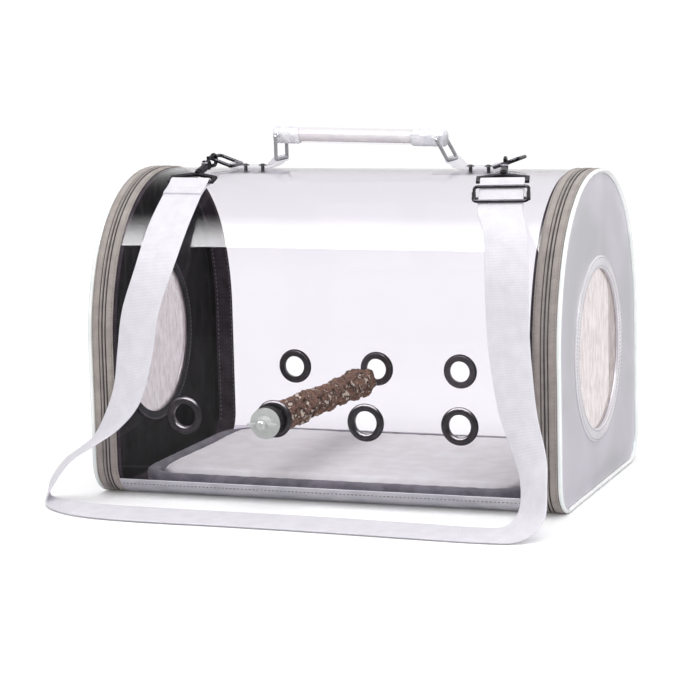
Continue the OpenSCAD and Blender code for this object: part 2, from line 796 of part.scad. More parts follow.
module right_strap_end() {
    tail = strap_tail[1];
    meet = 12;
    under = 2 * slider_bar_h;
    color([0.92, 0.92, 0.94]) webbing(1) difference() {
        union() {
            bar_wrap(strap_t, meet, 0, under);
            translate([meet, 0]) square([tail - meet, strap_t]);
            translate([meet, under - strap_t]) square([slider_s + slider_run + 5 - meet, strap_t]);
        }
        bar_wrap(0, meet, 0, under);
    }
}

module strap_slider() {
    frame_h = strap_t + slider_wire_r + 0.35;
    half = strap_w / 2 + slider_wire_r + 2.6;
    color([0.11, 0.11, 0.12]) strap_frame(1) {
        translate([0, -slider_s + slider_half, frame_h]) rotate([0, 0, -90])
            wire_frame(2 * slider_half, half, slider_wire_r, 4, 4);
        translate([0, -slider_s, slider_bar_h]) rotate([0, 90, 0])
            cylinder(r = slider_bar_r, h = 2 * half, center = true, $fn = 32);
        for (s = [-1, 1]) translate([s * half - 1.6, -slider_s - 2, slider_bar_h - 1.2])
            cube([3.2, 4, frame_h - slider_bar_h + 2]);
    }
}

// Shoulder strap: a flat ribbon swept between its two edges
function spline(p, i, t) =
    let (a = p[max(i - 1, 0)], b = p[i], c = p[min(i + 1, len(p) - 1)], d = p[min(i + 2, len(p) - 1)])
    0.5 * (2 * b + (c - a) * t + (2 * a - 5 * b + 4 * c - d) * t ^ 2 + (3 * b - a - 3 * c + d) * t ^ 3);
function smooth(p) = concat(
    [for (i = [0 : len(p) - 2], k = [0 : strap_steps - 1]) spline(p, i, k / strap_steps)],
    [p[len(p) - 1]]);
function unit(v) = v / norm(v);

module shoulder_strap() {
    a = smooth(edge_a);
    b = smooth(edge_b);
    n = len(a);
    mid = [for (i = [0 : n - 1]) (a[i] + b[i]) / 2];
    across = [for (i = [0 : n - 1]) unit(b[i] - a[i])];
    ahead = [for (i = [0 : n - 1]) unit(mid[min(i + 1, n - 1)] - mid[max(i - 1, 0)])];
    face = [for (i = [0 : n - 1])
        i == 0 ? unit(on_strap(0, [0, 0, 1]) - on_strap(0, [0, 0, 0])) :
        i == n - 1 ? -unit(on_strap(1, [0, 0, 1]) - on_strap(1, [0, 0, 0])) :
        unit(cross(ahead[i], across[i]))];
    corners = [for (i = [0 : n - 1], e = [[-1, -1], [1, -1], [1, 1], [-1, 1]])
        mid[i] + e[0] * across[i] * strap_w / 2 + e[1] * face[i] * strap_t / 2];
    walls = [for (i = [0 : n - 2], k = [0 : 3], half = [0, 1])
        let (p = 4 * i + k, q = 4 * i + (k + 1) % 4)
        half == 0 ? [p, q, q + 4] : [p, q + 4, p + 4]];
    color([0.92, 0.92, 0.94]) polyhedron(corners,
        concat([[0, 2, 1], [0, 3, 2]], walls, [[4 * n - 4, 4 * n - 3, 4 * n - 2], [4 * n - 4, 4 * n - 2, 4 * n - 1]]));
}

// Perch
function knob(u, a) = 1 + 0.10 * sin(3 * a + 900 * u) * sin(1700 * u + 40)
    + 0.07 * sin(5 * a - 1300 * u) + 0.05 * cos(2 * a + 2300 * u);

module perch_branch() {
    // Swells towards its ends and dips a little along its length
    ring = [for (i = [0 : perch_rings], k = [0 : perch_sides - 1])
        let (u = i / perch_rings, a = 360 * k / perch_sides,
             edge = i == 0 || i == perch_rings ? 0.86 : 1,
             r = perch_r * edge * knob(u, a) * (1 + 0.06 * cos(360 * u)))
        [perch_x + r * cos(a) + 1.6 * sin(250 * u),
         perch_y0 + u * perch_len,
         perch_z + r * sin(a) - perch_sag * u ^ 1.5]];
    n = perch_sides;
    last = n * perch_rings;
    walls = [for (i = [0 : perch_rings - 1], k = [0 : n - 1], half = [0, 1])
        let (p = n * i + k, q = n * i + (k + 1) % n)
        half == 0 ? [p, q, q + n] : [p, q + n, p + n]];
    color([0.45, 0.33, 0.27]) polyhedron(ring,
        concat([[for (k = [n - 1 : -1 : 0]) k]], walls, [[for (k = [0 : n - 1]) last + k]]));
}

module perch_at(y) {
    translate([perch_x, y, perch_z]) rotate([90, 0, 0]) children();
}

module perch_bolt() {
    tip_y = nut_y - 12;
    color([0.70, 0.71, 0.73]) perch_at(perch_y0 - 0.02) {
        cylinder(r = bolt_r, h = perch_y0 - tip_y - 1, $fn = 48);
        translate([0, 0, perch_y0 - tip_y - 1]) cylinder(r1 = bolt_r, r2 = bolt_r - 1, h = 1, $fn = 48);
    }
}

module washer(r, t) {
    difference() {
        cylinder(r = r, h = t, $fn = 64);
        translate([0, 0, -1]) cylinder(r = bolt_r + 0.3, h = t + 2, $fn = 48);
    }
}

module rubber_washer() {
    color([0.09, 0.09, 0.09]) perch_at(rubber_y) washer(13.6, rubber_t - seat);
}

module zinc_washer() {
    color([0.78, 0.80, 0.80]) perch_at(zinc_y) washer(13.4, zinc_t);
}

module wing_nut() {
    hub_h = 7;
    color([0.74, 0.75, 0.76]) perch_at(nut_y - seat) difference() {
        union() {
            cylinder(r1 = 6.8, r2 = 5.2, h = hub_h, $fn = 48);
            for (s = [-1, 1]) translate([s * 9.6, 0, 6]) rotate([90, 0, 0]) {
                cylinder(r = 4.2, h = 2.2, center = true, $fn = 48);
                translate([s > 0 ? -5.2 : -1, -4.4, -1.1]) cube([6.2, 5, 2.2]);
            }
        }
        translate([0, 0, -1]) cylinder(r = bolt_r + run, h = 30, $fn = 48);
    }
}

// Mat
module rounded_plan(l, w, r) {
    square([l, w - 2 * r], center = true);
    square([l - 2 * r, w], center = true);
    for (m = [0, 1], n = [0, 1]) mirror([m, 0]) mirror([0, n])
        wedge([l / 2 - r, w / 2 - r], r, 0, 90);
}

module mat_board() {
    color([0.55, 0.52, 0.48]) translate([0, 0, mat_z0]) linear_extrude(board_t)
        rounded_plan(mat_len - 14, mat_w - 18, mat_corner - 8);
}

module mat_plush() {
    color([0.95, 0.94, 0.94]) translate([0, 0, mat_z0 + board_t]) linear_extrude(mat_top - mat_z0 - board_t - 1.5)
        rounded_plan(mat_len - 2 * mat_edge_w, mat_w - 2 * mat_edge_w, mat_corner - mat_edge_w);
}

module mat_binding() {
    color([0.36, 0.36, 0.39]) translate([0, 0, mat_edge_z]) linear_extrude(mat_top - mat_edge_z) difference() {
        rounded_plan(mat_len, mat_w, mat_corner);
        rounded_plan(mat_len - 2 * mat_edge_w + seat, mat_w - 2 * mat_edge_w + seat, mat_corner - mat_edge_w);
    }
}

clear_shell();
base_cover();
front_eyelets();
back_eyelets();
at_end(-1) band();  // left_band
at_end(1) band();  // right_band
at_end(-1) fixed_zip();  // left_fixed_zip
at_end(1) fixed_zip();  // right_fixed_zip
at_end(-1) band_lining();  // left_band_lining
at_end(1) band_lining();  // right_band_lining
door_flaps();
at_end(-1) door_panel();  // left_door_panel
at_end(1) door_panel();  // right_door_panel
at_end(-1) door_lining();  // left_door_lining
at_end(1) door_lining();  // right_door_lining
at_end(-1) door_band();  // left_door_band
at_end(1) door_band();  // right_door_band
at_end(-1) door_zip();  // left_door_zip
at_end(1) door_zip();  // right_door_zip
at_end(-1) piping();  // left_piping
at_end(1) piping();  // right_piping
at_end(-1) window_ring();  // left_window_ring
at_end(1) window_ring();  // right_window_ring
at_end(-1) window_binding();  // left_window_binding
at_end(1) window_binding();  // right_window_binding
at_end(-1) mesh();  // left_mesh
at_end(1) mesh();  // right_mesh
at_end(-1) zip_slider();  // left_zip_slider
at_end(1) zip_slider();  // right_zip_slider
at_end(-1) zip_pull();  // left_zip_pull
at_end(1) zip_pull();  // right_zip_pull
at_end(-1) tab(left_pivot_x);  // left_tab
at_end(1) tab(right_pivot_x);  // right_tab
tab_rivets();
tab_patches();
left_link();
right_link();
grip_core();
grip_tube();
grip_sleeves();
d_ring(-1);  // left_d_ring
d_ring(1);  // right_d_ring
snap_hook(0);  // left_hook
snap_hook(1);  // right_hook
gate(0);  // left_gate
gate(1);  // right_gate
strap_loop(0);  // left_loop
strap_loop(1);  // right_loop
left_strap_end();
right_strap_end();
strap_slider();
shoulder_strap();
perch_branch();
perch_bolt();
rubber_washer();
zinc_washer();
wing_nut();
mat_board();
mat_plush();
mat_binding();
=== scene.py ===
# Bird travel carrier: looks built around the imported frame, in metres.
from math import asin, atan2, copysign, cos, degrees, hypot, pi, sin, sqrt, tan
from math import radians as rad
import bpy
from mathutils import Matrix, Vector, noise


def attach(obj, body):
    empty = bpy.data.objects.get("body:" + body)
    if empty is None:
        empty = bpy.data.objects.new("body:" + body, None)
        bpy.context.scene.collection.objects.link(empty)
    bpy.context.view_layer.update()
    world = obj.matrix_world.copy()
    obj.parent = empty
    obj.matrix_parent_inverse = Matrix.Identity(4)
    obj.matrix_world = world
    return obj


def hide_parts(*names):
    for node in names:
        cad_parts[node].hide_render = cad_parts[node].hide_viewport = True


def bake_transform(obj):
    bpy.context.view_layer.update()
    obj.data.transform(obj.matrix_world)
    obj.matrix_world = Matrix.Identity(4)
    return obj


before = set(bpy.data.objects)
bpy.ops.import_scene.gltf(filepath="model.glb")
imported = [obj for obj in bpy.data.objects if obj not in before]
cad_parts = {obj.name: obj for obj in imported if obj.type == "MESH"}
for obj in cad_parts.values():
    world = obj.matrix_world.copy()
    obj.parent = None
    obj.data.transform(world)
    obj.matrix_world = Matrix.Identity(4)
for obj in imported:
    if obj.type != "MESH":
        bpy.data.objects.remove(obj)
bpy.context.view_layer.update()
mm = 0.001
setMode = bpy.ops.object.mode_set
mirrorX = Matrix.Scale(-1, 4, (1, 0, 0))
same = 0.001  # mm, only points on one spot are merged


# small helpers
def hexColour(code):  # sRGB hex to the linear colour Blender wants
    parts = [int(code[i:i + 2], 16) / 255 for i in (1, 3, 5)]
    return [c / 12.92 if c <= 0.04045 else ((c + 0.055) / 1.055) ** 2.4 for c in parts] + [1.0]


def unit(angle):  # degrees
    return Vector((cos(rad(angle)), sin(rad(angle))))


def spun(angle, axis):
    return Matrix.Rotation(rad(angle), 4, axis)


def wander(x, y, z):  # smooth noise, about -1 to 1
    return noise.noise(Vector((x, y, z)))


def softStep(t):
    t = min(max(t, 0.0), 1.0)
    return t * t * (3 - 2 * t)


def pick(*pieces):  # only these selected, the first of them active
    bpy.ops.object.select_all(action="DESELECT")
    for piece in pieces:
        piece.select_set(True)
    bpy.context.view_layer.objects.active = pieces[0]


def editing(piece):  # this piece open, with all of it selected
    pick(piece)
    setMode(mode="EDIT")
    bpy.ops.mesh.select_all(action="SELECT")


def shaped(piece, angle=35, merge=0.02, outward=True):  # seams merged, sides outward, smooth to an angle
    editing(piece)
    if merge:
        bpy.ops.mesh.remove_doubles(threshold=merge * mm)
    if outward:
        bpy.ops.mesh.normals_make_consistent(inside=False)
    setMode(mode="OBJECT")
    bpy.ops.object.shade_smooth_by_angle(angle=rad(angle))
    return piece


def applyModifier(piece, kind, **settings):
    pick(piece)
    step = piece.modifiers.new("step", kind)
    for key, value in settings.items():
        setattr(step, key, value)
    bpy.ops.object.modifier_apply(modifier=step.name)


def fromPoints(name, verts, faces):
    mesh = bpy.data.meshes.new(name)
    mesh.from_pydata(verts, [], faces)
    piece = bpy.data.objects.new(name, mesh)
    bpy.context.scene.collection.objects.link(piece)
    return piece


def loopStart(name, points):  # a ring of edges through the points, ready to sweep
    bpy.ops.mesh.primitive_circle_add(vertices=len(points), radius=0.01, fill_type="NOTHING")
    piece = bpy.context.object
    piece.name = piece.data.name = name
    for vertex, point in zip(piece.data.vertices, points):
        vertex.co = point
    return piece


def extrude(move):
    bpy.ops.mesh.extrude_edges_move(TRANSFORM_OT_translate={"value": move})


def sweep(piece, route):  # turns are spins about an axis, runs are extrusions
    editing(piece)
    for kind, *step in route:
        if kind == "turn":
            centre, axis, angle, steps = step
            if abs(angle) > 1e-6:  # spin counts angles the other way
                bpy.ops.mesh.spin(steps=steps, angle=-rad(angle), center=centre, axis=axis)
        else:
            move, steps = step
            for i in range(steps):
                extrude(Vector(move) / steps)
    setMode(mode="OBJECT")
    return piece


def closeEnds(piece):
    editing(piece)
    bpy.ops.mesh.select_all(action="DESELECT")
    bpy.ops.mesh.select_mode(type="EDGE")
    bpy.ops.mesh.select_non_manifold(extend=False)
    bpy.ops.mesh.edge_face_add()
    bpy.ops.mesh.select_mode(type="VERT")
    setMode(mode="OBJECT")


def settle(piece, material, body, slot, *replaced):
    piece.data.materials.clear()
    piece.data.materials.append(material)
    if body:
        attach(piece, body)
    if replaced:
        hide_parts(*replaced)
    return piece


def bothEnds(piece, material, body, slot, node=None):  # the right one, and its mirror on the left
    twin = piece.copy()
    twin.data = piece.data.copy()
    twin.name = twin.data.name = piece.name.replace("right", "left", 1)
    bpy.context.scene.collection.objects.link(twin)
    twin.data.transform(mirrorX)
    twin.data.flip_normals()
    for side, part in (("right", piece), ("left", twin)):
        owner = body if body == "carrier" else side + "_" + body
        settle(part, material, owner, slot, *([side + "_" + node] if node else []))
    return [piece, twin]


# camera, as the photograph was taken
shot = {
    "place": (0.76314, -2.15825, 0.47228),
    "azimuth": 20.14, "elevation": 8.6, "roll": -1.45,
    "focalPixels": 2576.08, "imagePixels": 679, "sensorMm": 36,
}
bpy.ops.object.camera_add()
camera = bpy.context.object
camera.data.sensor_width = shot["sensorMm"]
camera.data.lens = shot["focalPixels"] / shot["imagePixels"] * shot["sensorMm"]
camera.matrix_world = (Matrix.Translation(shot["place"]) @ spun(shot["azimuth"], "Z")
                       @ spun(90 - shot["elevation"], "X") @ spun(shot["roll"], "Z"))
bpy.context.scene.camera = camera
bpy.context.scene.view_settings.view_transform = "Standard"
print("camera placed")


# outline of the carrier's end: tangent arcs, seen from the right
section = {"halfWidth": 136, "height": 280, "crownRadius": 190, "shoulderRadius": 124.5,
           "sideRadius": 176, "sideHeight": 133, "cornerRadius": 30, "windowHeight": 123.5,
           "upSteps": 8, "acrossSteps": 16}
windowCentre = Vector((0, section["windowHeight"]))
crownCentre = Vector((0, section["height"] - section["crownRadius"]))
sideCentre = Vector((section["halfWidth"] - section["sideRadius"], section["sideHeight"]))
cornerCentre = Vector((section["halfWidth"] - section["cornerRadius"], section["cornerRadius"]))
towardCrown = crownCentre - sideCentre
centreGap = towardCrown.length
towardCrown /= centreGap
fromSide = section["sideRadius"] - section["shoulderRadius"]
fromCrown = section["crownRadius"] - section["shoulderRadius"]
alongGap = (fromSide ** 2 - fromCrown ** 2 + centreGap ** 2) / (2 * centreGap)
offGap = sqrt(fromSide ** 2 - alongGap ** 2)
shoulderCentre = (sideCentre + alongGap * towardCrown
                  + offGap * Vector((-towardCrown.y, towardCrown.x)))
sideAngle = degrees(atan2(*reversed(shoulderCentre - sideCentre)))
crownAngle = degrees(atan2(*reversed(shoulderCentre - crownCentre)))

# centre, radius, first and last angle, steps; straight runs join the first, second and last
bends = [
    (cornerCentre, section["cornerRadius"], -90, 0, 14),
    (sideCentre, section["sideRadius"], 0, sideAngle, 12),
    (shoulderCentre, section["shoulderRadius"], sideAngle, crownAngle, 26),
    (crownCentre, section["crownRadius"], crownAngle, 180 - crownAngle, 8),
]
bends += [(Vector((-centre.x, centre.y)), radius, 180 - last, 180 - first, steps)
          for centre, radius, first, last, steps in bends[2::-1]]
straightUp = section["sideHeight"] - section["cornerRadius"]
straightAcross = 2 * cornerCentre.x


def onBend(bend, angle, depth):  # y and z in mm
    return bend[0] + (bend[1] - depth) * unit(angle)


def turnAlong(bend, first, last):
    centre = Vector((0, bend[0].x * mm, bend[0].y * mm))
    steps = max(1, round(bend[4] * (last - first) / (bend[3] - bend[2])))
    return ("turn", centre, (1, 0, 0), last - first, steps)


def startAt(name, profile, bend, angle):  # profile points are (x, depth) in mm
    spots = [onBend(bend, angle, depth) for x, depth in profile]
    return loopStart(name, [Vector((x, s.x, s.y)) * mm for (x, depth), s in zip(profile, spots)])


def hoop(name, profile, startAngle=None, smooth=35):  # all round, or open below its start angle
    first = -90 if startAngle is None else startAngle
    piece = startAt(name, profile, bends[0], first)
    up, down = (("run", (0, 0, way * straightUp * mm), section["upSteps"]) for way in (1, -1))
    route = [turnAlong(bends[0], first, 0), up, *(turnAlong(b, b[2], b[3]) for b in bends[1:6]),
             down, turnAlong(bends[6], 180, 180 - first)]
    if startAngle is None:
        route.append(("run", (0, straightAcross * mm, 0), section["acrossSteps"]))
    sweep(piece, route)
    if startAngle is not None:
        closeEnds(piece)
    return mapAlong(shaped(piece, smooth))


def flatProfile(spots, outer, inner):
    return [(x, outer) for x in spots] + [(x, inner) for x in spots[::-1]]


def alongOutline(y, z):  # mm round the outline from the middle of the bottom
    y = abs(y)
    way = cornerCentre.x
    if z < section["cornerRadius"]:
        if y < way:
            return y
        return way + section["cornerRadius"] * (
            atan2(z - cornerCentre.y, y - cornerCentre.x) + rad(90))
    way += rad(90) * section["cornerRadius"]
    if z < section["sideHeight"]:
        return way + z - section["cornerRadius"]
    way += straightUp
    for centre, radius, first, last, steps in bends[1:4]:
        angle = atan2(z - centre.y, y - centre.x)
        if angle < rad(last):
            return way + radius * (angle - rad(first))
        way += radius * rad(last - first)


def rimDepth(y, z):  # mm inward from the outline
    y = abs(y)
    spot = Vector((y, z))
    if z <= section["sideHeight"]:
        inward = section["halfWidth"] - y
        if z < cornerCentre.y and y > cornerCentre.x:
            inward = section["cornerRadius"] - (spot - cornerCentre).length
        return min(inward, z)
    for centre, radius, first, last, steps in bends[3:0:-1]:
        if degrees(atan2(z - centre.y, y - centre.x)) > first:
            return radius - (spot - centre).length


wholeWay = 2 * alongOutline(0, section["height"])


def mapAlong(piece):  # UV in metres: u round the outline, v along the carrier
    mesh = piece.data
    weave = mesh.uv_layers.new(name="weave")
    for face in mesh.polygons:
        back = face.center.y < 0
        for corner in face.loop_indices:
            spot = mesh.vertices[mesh.loops[corner].vertex_index].co / mm
            way = alongOutline(spot.y, spot.z)
            weave.data[corner].uv = ((wholeWay - way if back else way) * mm, spot.x * mm)
    return piece


def outlineLoop(depth):  # points round the whole outline, in mm
    found = []
    up, across = section["upSteps"], section["acrossSteps"]
    for n, bend in enumerate(bends):
        for i in range(bend[4] + 1):
            if i > 0 or n in (0, 1, 6):
                angle = bend[2] + (bend[3] - bend[2]) * i / bend[4]
                found.append(onBend(bend, angle, depth))
        if n in (0, 5):
            way = 1 if n == 0 else -1
            found += [found[-1] + Vector((0, way * straightUp * k / up)) for k in range(1, up)]
    return found + [found[-1] + Vector((straightAcross * k / across, 0)) for k in range(1, across)]


def windowLoop(radius, guide):  # a circle whose points face those of the outline
    return [windowCentre + (p - windowCentre).normalized() * radius for p in guide]


def stacked(name, loops, cuts):  # rings of points, each bridged to the next
    parts = [loopStart(name + str(i), [Vector((x, p.x, p.y)) * mm for p in ring])
             for i, (x, ring) in enumerate(loops)]
    pick(*parts)
    bpy.ops.object.join()
    piece = bpy.context.object
    piece.name = piece.data.name = name
    count = len(loops[0][1])
    for i, number in enumerate(cuts):
        mesh = piece.data
        for vertex in mesh.vertices:
            vertex.select = i * count <= vertex.index < (i + 2) * count
        for edge in mesh.edges:
            edge.select = all(mesh.vertices[v].select for v in edge.vertices)
        setMode(mode="EDIT")
        bpy.ops.mesh.select_mode(type="EDGE")
        bpy.ops.mesh.bridge_edge_loops(number_cuts=number, interpolation="LINEAR")
        bpy.ops.mesh.select_mode(type="VERT")
        setMode(mode="OBJECT")
    return piece


# shader pieces: each adds a node to a tree and gives its output
def addNode(tree, kind, settings=None, values=None, links=None):
    node = tree.nodes.new("ShaderNode" + kind)
    for name, value in (settings or {}).items():
        setattr(node, name, value)
    for name, value in (values or {}).items():
        node.inputs[name].default_value = value
    for name, socket in (links or {}).items():
        tree.links.new(socket, node.inputs[name])
    return node


def objectSpot(tree):
    return addNode(tree, "TexCoord").outputs["Object"]


def noiseOf(tree, spot, scale, detail, distortion=0.0):
    return addNode(tree, "TexNoise", values={"Scale": scale, "Detail": detail, "Distortion": distortion},
                   links={"Vector": spot}).outputs["Fac"]


def spreadOf(tree, value, low, high, toLow=0.0, toHigh=1.0, curve="LINEAR"):
    return addNode(tree, "MapRange", {"interpolation_type": curve},
                   {"From Min": low, "From Max": high, "To Min": toLow, "To Max": toHigh},
                   {"Value": value}).outputs[0]


def mixOf(tree, dark, light, amount):
    return addNode(tree, "Mix", {"data_type": "RGBA"}, {6: hexColour(dark), 7: hexColour(light)},
                   {0: amount}).outputs[2]


def addedOf(tree, value, share, other):  # value * share + other
    return addNode(tree, "Math", {"operation": "MULTIPLY_ADD"}, {1: share},
                   {0: value, 2: other}).outputs[0]


def bumpOf(tree, strength, reliefMm, height, under=None):
    links = {"Height": height, "Normal": under} if under else {"Height": height}
    return addNode(tree, "Bump", values={"Strength": strength, "Distance": reliefMm * mm},
                   links=links).outputs[0]


def emptyTree(owner):
    owner.use_nodes = True
    owner.node_tree.nodes.clear()
    return owner.node_tree


def skinOf(rough, **more):  # surface values under short names
    names = {"metal": "Metallic", "specular": "Specular IOR Level", "sheen": "Sheen Weight",
             "coat": "Coat Weight", "coatRough": "Coat Roughness",
             "filmNm": "Thin Film Thickness", "filmIor": "Thin Film IOR"}
    return {"Roughness": rough} | {names[key]: value for key, value in more.items()}


def newMaterial(name, values):
    material = bpy.data.materials.new(name)
    material.use_nodes = True
    tree = material.node_tree
    surface = tree.nodes["Principled BSDF"]
    for key, value in values.items():
        surface.inputs[key].default_value = value
    return material, tree, surface


def wired(material, surface, **sockets):  # outputs joined to the surface, underscores for spaces
    for name, socket in sockets.items():
        material.node_tree.links.new(socket, surface.inputs[name.replace("_", " ")])
    return material


# clear vinyl, calendered: nearly all light passes, and its skin mirrors the lamps, most at the edges
film = {"waveMm": 60, "waveDetail": 1.5, "waveStrength": 0.35, "facing": 0.019, "edge": 0.9,
        "edgePower": 6.5}


def clearVinyl(name, tint, roughness, reliefMm):
    material = bpy.data.materials.new(name)
    tree = emptyTree(material)
    ripple = noiseOf(tree, objectSpot(tree), 1000 / film["waveMm"], film["waveDetail"])
    skin = bumpOf(tree, film["waveStrength"], reliefMm, ripple)
    view = addNode(tree, "LayerWeight", values={"Blend": 0.5}, links={"Normal": skin})
    grazing = addNode(tree, "Math", {"operation": "POWER"}, {1: film["edgePower"]},
                      {0: view.outputs["Facing"]})
    mirror = addNode(tree, "Math", {"operation": "MULTIPLY_ADD"},
                     {1: film["edge"], 2: film["facing"]}, {0: grazing.outputs[0]})
    through = addNode(tree, "BsdfTransparent", values={"Color": hexColour(tint)})
    gloss = addNode(tree, "BsdfGlossy", values={"Roughness": roughness, "Color": (1, 1, 1, 1)},
                    links={"Normal": skin})
    both = addNode(tree, "MixShader", None, None,
                   {0: mirror.outputs[0], 1: through.outputs[0], 2: gloss.outputs[0]})
    addNode(tree, "OutputMaterial", links={"Surface": both.outputs[0]})
    return material


# woven narrow fabric on the "weave" map: crosswise ribs, fine warp, uneven dye
tape = {"wavePerMm": 314.16, "ribBend": 0.3, "warpShare": 0.35, "dyeScale": 90.0, "weaveShare": 0.45,
        "darkAt": 0.3, "lightAt": 1.2, "strength": 0.8}


def wovenTape(name, light, dark, ribMm, warpMm, reliefMm, values):
    material, tree, surface = newMaterial(name, values)
    weave = addNode(tree, "UVMap", {"uv_map": "weave"}).outputs["UV"]
    ribs, warps = (
        addNode(tree, "TexWave", {"bands_direction": way},
                {"Scale": tape["wavePerMm"] / pitch, "Distortion": bend},
                {"Vector": weave}).outputs["Fac"]
        for way, pitch, bend in (("X", ribMm, tape["ribBend"]), ("Y", warpMm, 0.0)))
    cloth = addedOf(tree, warps, tape["warpShare"], ribs)
    dye = noiseOf(tree, objectSpot(tree), tape["dyeScale"], 3.0)
    shade = addedOf(tree, cloth, tape["weaveShare"], dye)
    colour = mixOf(tree, dark, light, spreadOf(tree, shade, tape["darkAt"], tape["lightAt"]))
    return wired(material, surface, Base_Color=colour,
                 Normal=bumpOf(tree, tape["strength"], reliefMm, cloth))


# coated or plain sheet goods: fine grain in the bump, slow colour drift, soft creases
sheetLook = {"driftBend": 0.6, "darkAt": 0.35, "lightAt": 0.65, "grainStrength": 0.7,
             "creaseStrength": 0.6}


def sheetGoods(name, light, dark, grainMm, driftMm, reliefMm, creaseMm, creaseGapMm, values):
    material, tree, surface = newMaterial(name, values)
    spot = objectSpot(tree)
    grain = noiseOf(tree, spot, 1000 / grainMm, 2.0)
    drift = noiseOf(tree, spot, 1000 / driftMm, 2.0, sheetLook["driftBend"])
    folds = noiseOf(tree, spot, 1000 / creaseGapMm, 3.0)
    uneven = spreadOf(tree, drift, sheetLook["darkAt"], sheetLook["lightAt"])
    fine = bumpOf(tree, sheetLook["grainStrength"], reliefMm, grain)
    return wired(material, surface, Base_Color=mixOf(tree, dark, light, uneven),
                 Normal=bumpOf(tree, sheetLook["creaseStrength"], creaseMm, folds, fine))


# plated metal: cast or drawn skin in the bump, and a finish that is duller in patches
plating = {"patchScale": 220.0, "strength": 0.5}


def platedMetal(name, light, dark, skinMm, roughness, reliefMm, metallic):
    material, tree, surface = newMaterial(name, {"Metallic": metallic})
    spot = objectSpot(tree)
    skin = noiseOf(tree, spot, 1000 / skinMm, 4.0)
    patches = noiseOf(tree, spot, plating["patchScale"], 2.0)
    return wired(material, surface, Base_Color=mixOf(tree, dark, light, patches),
                 Roughness=spreadOf(tree, patches, 0, 1, *roughness),
                 Normal=bumpOf(tree, plating["strength"], reliefMm, skin))


# warp-knitted polyester net: a diamond grid of holes, drawn coarse enough to show, mottled upright
knit = {"pitchMm": 1.7, "hole": 0.30, "mottle": 260.0, "stretch": (1, 1, 0.35), "darkAt": 0.36,
        "lightAt": 0.64}


def knittedNet(name, light, dark):
    material, tree, surface = newMaterial(name, skinOf(0.75, specular=0.35))
    spot = objectSpot(tree)
    flat = addNode(tree, "Mapping", None, {"Rotation": (rad(45), 0, 0), "Scale": (0, 1, 1)},
                   {"Vector": spot})
    cells = addNode(tree, "TexVoronoi", None, {"Scale": 1000 / knit["pitchMm"], "Randomness": 0.0},
                    {"Vector": flat.outputs[0]})
    solid = addNode(tree, "Math", {"operation": "GREATER_THAN"}, {1: knit["hole"]},
                    {0: cells.outputs["Distance"]})
    tall = addNode(tree, "Mapping", None, {"Scale": knit["stretch"]}, {"Vector": spot})
    mottled = noiseOf(tree, tall.outputs[0], knit["mottle"], 5.0)
    uneven = spreadOf(tree, mottled, knit["darkAt"], knit["lightAt"])
    return wired(material, surface, Base_Color=mixOf(tree, dark, light, uneven), Alpha=solid.outputs[0])


# knobbly branch: brown bark, pale tan in its pits, each with a dark edge
bark = {"pitMm": 8.0, "warpScale": 160.0, "warp": 0.012, "grainScale": 330.0, "grainBend": 1.2,
        "woodFrom": (0.36, 0.5), "rimFrom": (0.24, 0.34), "grainShare": 0.5, "relief": (0.9, 1.0)}


def pittedWood(name, light, dark, pit, rim):
    material, tree, surface = newMaterial(name, skinOf(0.8, specular=0.25))
    spot = objectSpot(tree)
    warp = addNode(tree, "TexNoise", None, {"Scale": bark["warpScale"], "Detail": 3.0}, {"Vector": spot})
    bent = addNode(tree, "Mix", {"data_type": "VECTOR"}, {0: bark["warp"]},
                   {4: spot, 5: warp.outputs["Color"]})
    pits = addNode(tree, "TexVoronoi", None, {"Scale": 1000 / bark["pitMm"]},
                   {"Vector": bent.outputs[1]}).outputs["Distance"]
    grain = noiseOf(tree, spot, bark["grainScale"], 6.0, bark["grainBend"])
    wood = mixOf(tree, dark, light, spreadOf(tree, grain, 0.35, 0.65))
    outside = spreadOf(tree, pits, *bark["woodFrom"])
    hollow = mixOf(tree, pit, rim, spreadOf(tree, pits, *bark["rimFrom"]))
    colour = addNode(tree, "Mix", {"data_type": "RGBA"}, None, {0: outside, 6: hollow, 7: wood})
    rough = addedOf(tree, grain, bark["grainShare"], outside)
    return wired(material, surface, Base_Color=colour.outputs[2],
                 Normal=bumpOf(tree, *bark["relief"], rough))


# clear films: tint, roughness, relief in mm
films = {
    "clearVinylSheet": ("#faf9fb", 0.035, 1.2),
    "clearVinylTube": ("#fdfcfd", 0.08, 0.6),
    "clearVinylTab": ("#f2f1f4", 0.12, 0.5),
}
# tapes: light and dark colour; rib, warp and relief in mm; surface
tapes = {
    "taupeGrosgrain": ("#b0a7a2", "#877f7b", 1.0, 0.8, 0.12, skinOf(0.78, sheen=0.25, specular=0.3)),
    "zipTapeNylon": ("#aaa29e", "#7b7370", 1.1, 0.7, 0.2, skinOf(0.62, sheen=0.15, specular=0.4)),
    "coilTeethNylon": ("#3d3432", "#1d1716", 1.3, 3.0, 0.4, skinOf(0.45, specular=0.5)),
    "polyesterWebbing": ("#e8e5ec", "#d3d0d9", 1.3, 1.9, 0.16, skinOf(0.62, sheen=0.2, specular=0.4)),
    "blackLiningTape": ("#594e57", "#1b171b", 1.4, 2.6, 0.3, skinOf(0.8, specular=0.12)),
}
